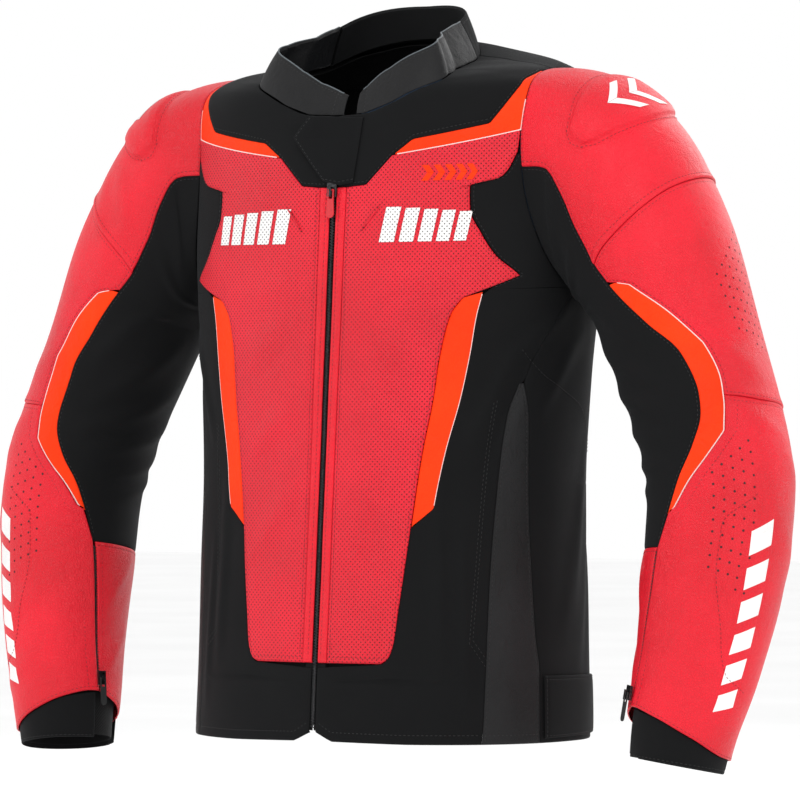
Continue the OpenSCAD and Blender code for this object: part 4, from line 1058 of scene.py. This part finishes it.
def guard(side, mirror):
    roll = -SIDES[side] * FOREARM_ROLL
    lines = (joined([-50, 0.98], [-52, 1.2], [-50, 1.45]), smooth([[75, 1.1], [79, 1.25], [75, 1.42]], 1),
             smooth([[-50, 0.98], [12, 0.9], [48, 0.92], [66, 1.0], [75, 1.1]], 0),
             smooth([[-50, 1.45], [35, 1.57], [62, 1.56], [75, 1.42]], 0))
    sewn("shoulder_guard_" + side, "red_leather", lines, "sleeve", None, side, cell=2.2, fill=0.9, roll=roll,
         mirror=mirror, over=1.4, dip=(1.6,) * 4, puff=0, extra=swell, grooves=[(i, 3.0) for i in range(4)],
         groove=0.2)
    badge = [bar("sleeve", near, near + 9, foot, foot + 0.16, lean, 7.1, roll, mirror)
             for phi in (-8, 14) for near, foot, lean in ((phi, 1.08, 18), (phi + 18, 1.242, -18))]
    printed("guard_print_" + side, badge, WHITE, None)


two_sided(guard)
print("two shoulder guards")

# %% Collar
def round_top(u, v, s, t, sides):
    top = np.clip(sides[3] / 2.2, 0, 1)
    return 0.8 * np.sin(np.pi * np.clip(t, 0, 1)) - 1.2 * (1 - np.sqrt(1 - (1 - top) ** 2))


COLLAR_MAKE = {"surface": "collar", "cell": 3.0, "thickness": 3.0, "fill": 0.5, "groove": 0.3, "puff": 0.3,
               "extra": round_top}


def collar_front(side, mirror):
    a = 4.0 if side == "left" else -1.2
    top = smooth([[a, 0.72], [a + 2.5, 0.9], [a + 7, 1.0], [98, 1.0]], 0)
    lines = (joined([a, 0.03], [a, 0.72]), joined([98, 0.03], [98, 1.0]), joined([a, 0.03], [98, 0.03]), top)
    sewn("collar_front_" + side, "grey_leather", lines, mirror=mirror, dip=(0.8, 0.8, 0.5, 0.0),
         grooves=[(3, 4.0), (0, 4.0)], **COLLAR_MAKE)


two_sided(collar_front)
sewn("collar_back", "black_stretch", box(98, 262, -0.03, 1.0), over=-0.4, dip=(0.6, 0.6, 0.5, 0.0),
     grooves=[(3, 4.0)], **COLLAR_MAKE)
print("collar in three pieces")

# %% [markdown]
# ## Neck flap and waist tabs
# The flap is sewn on beside the zip and laid over its top end, and each tab is laid over the hip,
# where it draws the waist in. Both can be lifted, so they ride on bodies of their own.

# %% Neck flap and waist tabs
def flap_lies(u, v, s, t, sides):
    return 1.2 + 7.4 * ease(1 - s * 0.92) * 0.95


lines = (joined([-1, 5.52], [-8.5, 6.25], [-4.5, 6.64]), joined([4, 5.5], [6, 6.6]),
         joined([-1, 5.52], [1.5, 5.46], [4, 5.5]), joined([-4.5, 6.64], [6, 6.6]))
sewn("neck_flap", "black_stretch", lines, body="flap", cell=2.0, thickness=1.6, over=0.6, held="laid",
     dip=(1.0, 0.2, 1.0, 1.0), grooves=[(0, 3), (2, 3)], puff=0.3, extra=flap_lies)


def tab(side, mirror):
    lines = between(joined([74.5, 0.06], [74.5, 0.54]), smooth([[117, 0.08], [121, 0.3], [117, 0.52]], 1))
    sewn("waist_tab_" + side, "black_stretch", lines, body="tab_" + side, cell=3.0, thickness=1.8,
         held="laid", mirror=mirror, over=2.6, dip=(0.8, 1.0, 1.0, 1.0), grooves=[(i, 3) for i in range(4)])


two_sided(tab)
print("flap and tabs")

# %% [markdown]
# ## Piping
# A pale bead is caught in the seam above each chest strip's lower edge, outside the elbow strip and
# beside the body strips. It is a real round cord in a folded strip, so it gets a real round tube.

# %% Piping beads
def piping(side, mirror):
    for name, row, material, slot, body, radius in (
            ("chest_strip", (2, 0.1, 0.01, 0.66), PIPING, "orange_leather", "torso", 0.8),
            ("side_strip", (1, 0.1), PIPING, "orange_leather", "torso", 0.45),
            ("elbow_strip", (1, -0.1), PIPING, "orange_leather", None, 0.8),
            ("collar_front", (3, 0.4), GREY_PIPING, "grey_leather", "torso", 0.7)):
        bm = bmesh.new()
        bead(bm, *WHOLE[name + "_" + side + "_sewn"].row(*row), radius)
        worn(finished(name.split("_")[0] + "_piping_" + side, bm, material), body)


two_sided(piping)
print("four beads on each side")

# %% [markdown]
# ## Prints on the chest and forearms
# The chest bars lie on perforated leather, so the holes run on through them.

# %% Prints
BAR_COUNT, BAR_FROM, BAR_TO, BAR_FOOT, BAR_HEAD, PRINT_OVER = 5, 11.2, 38.0, 4.68, 5.14, 1.6
step = (BAR_TO - BAR_FROM) / BAR_COUNT
for side in SIDES:
    mirror, roll = side == "right", -SIDES[side] * FOREARM_ROLL
    feet = [BAR_FROM + step * i for i in range(BAR_COUNT)]
    bars = [bar("torso", foot, foot + step * 0.76, BAR_FOOT, BAR_HEAD - 0.02 * i, 1.6 * SIDES[side],
                PRINT_OVER, mirror=mirror) for i, foot in enumerate(feet)]
    printed("chest_print_" + side, bars, WHITE_PERFORATED, "torso")
    bars = [bar("sleeve", 31, 51, 6.32 + 0.4 * i, 6.58 + 0.4 * i, 0, 0.97, roll, mirror, 0.16)
            for i in range(6)]
    printed("forearm_print_" + side, bars, WHITE, "sleeve_" + side)
chevrons = [bar("torso", u + 3.4 * i, u + 2 + 3.4 * i, foot, head, lean, PRINT_OVER)
            for u, foot, head, lean in ((22, 5.50, 5.62, 1.6), (23.6, 5.622, 5.74, -1.6)) for i in range(5)]
printed("chest_chevrons", chevrons, ORANGE, "torso")
print(BAR_COUNT, "bars on each side of the zip, five chevrons, six bars on each forearm")

# %% [markdown]
# ## Holes, pockets and seams that are only stitched
# Rows of punched holes let air in at the upper arm and the forearm. A closed pocket and the shaping
# seams of the flanks show only by their stitches, so only their stitches are made.

# %% Punched holes, pockets and seams that are only stitched
def disc_mesh():
    bm = bmesh.new()
    bmesh.ops.create_circle(bm, cap_ends=True, segments=10, radius=1)
    mesh = bpy.data.meshes.new("one_hole")
    bm.to_mesh(mesh)
    points = np.array([v.co for v in bm.verts])
    bm.free()
    return mesh, points


HOLE, HOLE_POINTS = disc_mesh()
HOLE_R, HOLE_PITCH = 1.15, 10.5


def punched(name, phis, first, last, body, side):
    """Rows of punched holes between two angles, each row a little longer than the one before; each hole is a
    dark disc laid on the leather, showing the dark lining seen through it and painted shade inside it.
    """
    mirror, roll = side == "right", -SIDES[side] * FOREARM_ROLL
    bm = bmesh.new()
    for i, phi in enumerate(phis):
        s = np.linspace(first + 0.09 * i, last - 0.05 * i, 60)
        p, n = chalk("sleeve", np.stack([np.full_like(s, phi), s], -1), 0.86, roll, mirror)
        for spot, ahead, aside, up in zip(*evenly(p, n, HOLE_PITCH)):
            stamp(bm, HOLE, HOLE_POINTS * HOLE_R, spot, ahead, aside, up)
    return worn(finished(name, bm, HOLE_SHADE), body)


POCKETS = {"left": [[51, 2.75], [47, 1.35], [45, 0.75], [51, 0.6]], "right": [[41, 2.5], [37, 0.8], [43, 0.7]]}


def seams(side, mirror):
    roll = -SIDES[side] * FOREARM_ROLL
    punched("upper_arm_holes_" + side, np.arange(-12, 31, 7.5), 3.0, 4.5, None, side)
    punched("forearm_holes_" + side, np.arange(50, 84, 8), 5.45, 7.2, "sleeve_" + side, side)
    pocket = smooth(POCKETS[side], 1, [len(POCKETS[side]) - 2])
    seam = smooth([[60, 3.35], [71, 3.05], [92, 2.7], [111, 2.15]], 0)
    bm = bmesh.new()
    for line, over in ((pocket, 0.05), (pocket + [1.2, 0.02], 0.05), (seam, 0.15)):
        sew(bm, *chalk("torso", line, over, mirror=mirror))
    worn(finished("side_stitches_" + side, bm, BLACK_THREAD), "torso")
    bm = bmesh.new()
    curve = smooth([[47, 6.1], [75, 6.45], [76, 6.85], [63, 7.7], [49, 8.2], [21, 8.35]], 1)
    sew(bm, *chalk("sleeve", curve, 0.85, roll, mirror))
    worn(finished("forearm_curve_" + side, bm, RED_THREAD), "sleeve_" + side)


two_sided(seams)
print("holes punched and pockets stitched on both sides")

# %% [markdown]
# ## Zips
# A zip is two woven tapes with a row of teeth on each edge, one row set half a pitch behind the
# other. The main zip runs from the hem to the neck, and a short one closes each cuff.

# %% Tapes and teeth
TOOTH_PITCH, TOOTH_SIZE = 2.6, (1.1, 2.3, 1.6)
bm = bmesh.new()
bmesh.ops.create_cube(bm, size=1)
bmesh.ops.bevel(bm, geom=bm.edges[:], offset=0.18, segments=1, profile=0.5, affect="EDGES", material=-1)
TOOTH = bpy.data.meshes.new("one_tooth")
bm.to_mesh(TOOTH)
BLOCK = np.array([v.co for v in bm.verts])
bm.free()


def teeth(name, p, n, body, side=None):
    bm = bmesh.new()
    for i, (spot, ahead, aside, up) in enumerate(zip(*evenly(p, n, TOOTH_PITCH / 2))):
        shift = 0.75 if i % 2 else -0.75
        stamp(bm, TOOTH, BLOCK * TOOTH_SIZE, spot + aside * shift, ahead, aside, up)
    return worn(finished(name, bm, METAL), body)


def tape(name, skins, body, node, thickness):
    piece = worn(net(name, skins, TAPE, thickness, 3.0), body)
    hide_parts(node)
    return piece


LIES_LOW = {"dip": (0.2,) * 4, "round_r": 0.6, "puff": 0}
height = np.linspace(0.16, 6.0, 200)
teeth("main_zip_teeth", *chalk("torso", np.stack([np.zeros(200), height], -1), -0.9), "torso")
lines = box(front_angle(0.5), front_angle(11), 0.14, 6.1)
tapes = [Skin("torso", lines, mirror=mirror, over=-1.9, **LIES_LOW) for mirror in (True, False)]
piece = tape("main_zip_tape", tapes, "torso", "main_zip_tapes", 0.6)
for side in SIDES:
    mirror, roll = side == "right", -SIDES[side] * FOREARM_ROLL
    line = cut(ZIP_LINE, 6.8, 8.9) + [1.1, 0]
    teeth("cuff_zip_teeth_" + side, *chalk("sleeve", line, -0.7, roll, mirror), "sleeve_" + side, side)
    name = "cuff_zip_tape_" + side
    skin = Skin("sleeve", between(line - [7, 0], line + [7, 0]), roll=roll, mirror=mirror, over=-1.7,
                **LIES_LOW)
    cloth(tape(name, skin, "sleeve_" + side, name, 0.5))
print("teeth on three zips")

# %% [markdown]
# ## Hard parts
# The sliders, their pulls, the hanger loop and the connection zip are hard, so they keep the shapes
# that the CAD model gives them. Only their finish is set here.

# %% Sliders, pulls and the loop keep their own shapes
FINISHES = {"main_zip_slider": METAL, "main_zip_pull": RUBBER, "hanger_loop": BLACK_RUBBER,
            "connection_zip": METAL}
for side in SIDES:
    FINISHES["cuff_zip_slider_" + side] = METAL
    FINISHES["cuff_zip_pull_" + side] = BLACK_RUBBER
for name, finish in FINISHES.items():
    node = bpy.data.objects[name]
    node.data.materials.clear()
    node.data.materials.append(finish)
print(len(FINISHES), "packed parts refinished")

# %% [markdown]
# ## Inside
# Through the neck the dark mesh lining shows, with the hanger loop behind it. Foam armour lies in
# pockets between the leather and the lining, at the shoulders, the elbows and the back.

# %% Lining and armour
def inside(name, surface, lines, node, body="torso", side=None, depth=5.0, **more):
    pad = "armour" in node or "pad" in node
    sewn(name, "armour_foam" if pad else "lining", lines, surface, body, side, node, 7.0, over=-depth,
         dip=(2.0 if pad else 0.0,) * 4, round_r=6.0, puff=0.0, fill=0.8 if pad else None, **more)


side_arm = joined([88, 0.12], ARM(180, 0, 19), SHOULDER_SEAM[1:])
back_arm = joined([88, 0.12], ARM(-180, 0, 19), SHOULDER_SEAM[1:])
foot, head = [PLACKET_U, 0.12], [PLACKET_U, 6.66]
lines = (joined(foot, head), side_arm, joined(foot, [88, 0.12]), joined(head, cut(NECK_LINE, 6, 105, 0)))
for side in SIDES:
    inside("lining_front_" + side, "torso", lines, "torso_lining", mirror=side == "right")
lines = (back_arm, across(back_arm), joined([88, 0.12], [272, 0.12]), BACK_NECK)
inside("lining_back", "torso", lines, "torso_lining")
pad_left = smooth([[162, 2.2], [154, 4], [154, 6.3], [166, 7.4]], 1)
inside("back_pad", "torso", between(pad_left, across(pad_left)), "back_pad", depth=8.3)
shoulder_pad = between(smooth([[-50, 0.7], [-58, 1.2], [-50, 2]], 1),
                       smooth([[60, 0.7], [70, 1.2], [60, 2]], 1))
elbow_pad = between(smooth([[-60, 3.8], [-75, 5], [-58, 6.4]], 1),
                    smooth([[30, 3.8], [45, 5], [28, 6.4]], 1))
for side in SIDES:
    hand = "sleeve_" + side
    for name, node, lines, rides, depth in (
            ("shoulder_armour_", "shoulder_armour_", shoulder_pad, None, 4.2),
            ("elbow_armour_", "elbow_armour_", elbow_pad, hand, 4.2),
            ("sleeve_lining_", "sleeve_lining_", box(0, 359.5, 0.3, 8.3), None, 14.0),
            ("cuff_lining_", "sleeve_lining_", box(0, 359.5, 8.2, 9.85), hand, 5.5)):
        inside(name + side, "sleeve", lines, node + side, rides, side, depth, mirror=side == "right",
               roll=-SIDES[side] * FOREARM_ROLL)
print("linings, back pad and four armour pads")

# %% [markdown]
# ## Light and floor
# Clothing is lit softly from all round, with one broad light above the camera, a weaker one on each
# side and a pale floor that throws light back up.

# %% Studio
def area_light(name, place, size, power, target=(0, -0.05, -0.3)):
    data = bpy.data.lights.new(name, "AREA")
    data.size, data.energy = size, power
    light = bpy.data.objects.new(name, data)
    bpy.context.scene.collection.objects.link(light)
    light.location = place
    light.rotation_euler = (Vector(place) - Vector(target)).to_track_quat("Z", "Y").to_euler()


area_light("key", (0.9, -2.5, 1.9), 1.3, 42)
area_light("left_fill", (2.8, -0.9, 0.4), 1.2, 16)
area_light("right_fill", (-2.4, -1.6, 0.5), 1.2, 14)
area_light("back_light", (0.4, 2.6, 1.2), 1.8, 30)
world = bpy.data.worlds.new("studio")
bpy.context.scene.world = world
world.use_nodes = True
world.node_tree.nodes["Background"].inputs[0].default_value = (1, 1, 1, 1)
world.node_tree.nodes["Background"].inputs[1].default_value = 1.0
FLOOR_Z = cad_box[0][2] - 0.22
bm = bmesh.new()
bmesh.ops.create_grid(bm, x_segments=1, y_segments=1, size=14)
bmesh.ops.translate(bm, verts=bm.verts, vec=(0, 0, FLOOR_Z))
floor_mesh = bpy.data.meshes.new("floor")
bm.to_mesh(floor_mesh)
bm.free()
floor = bpy.data.objects.new("floor", floor_mesh)
bpy.context.scene.collection.objects.link(floor)
floor_mesh.materials.append(plain("floor_paper", (0.93, 0.93, 0.93), (0.97, 0.97, 0.97), 0.8, scale=2.0))
print("four lights and a floor at z =", round(FLOOR_Z, 3))
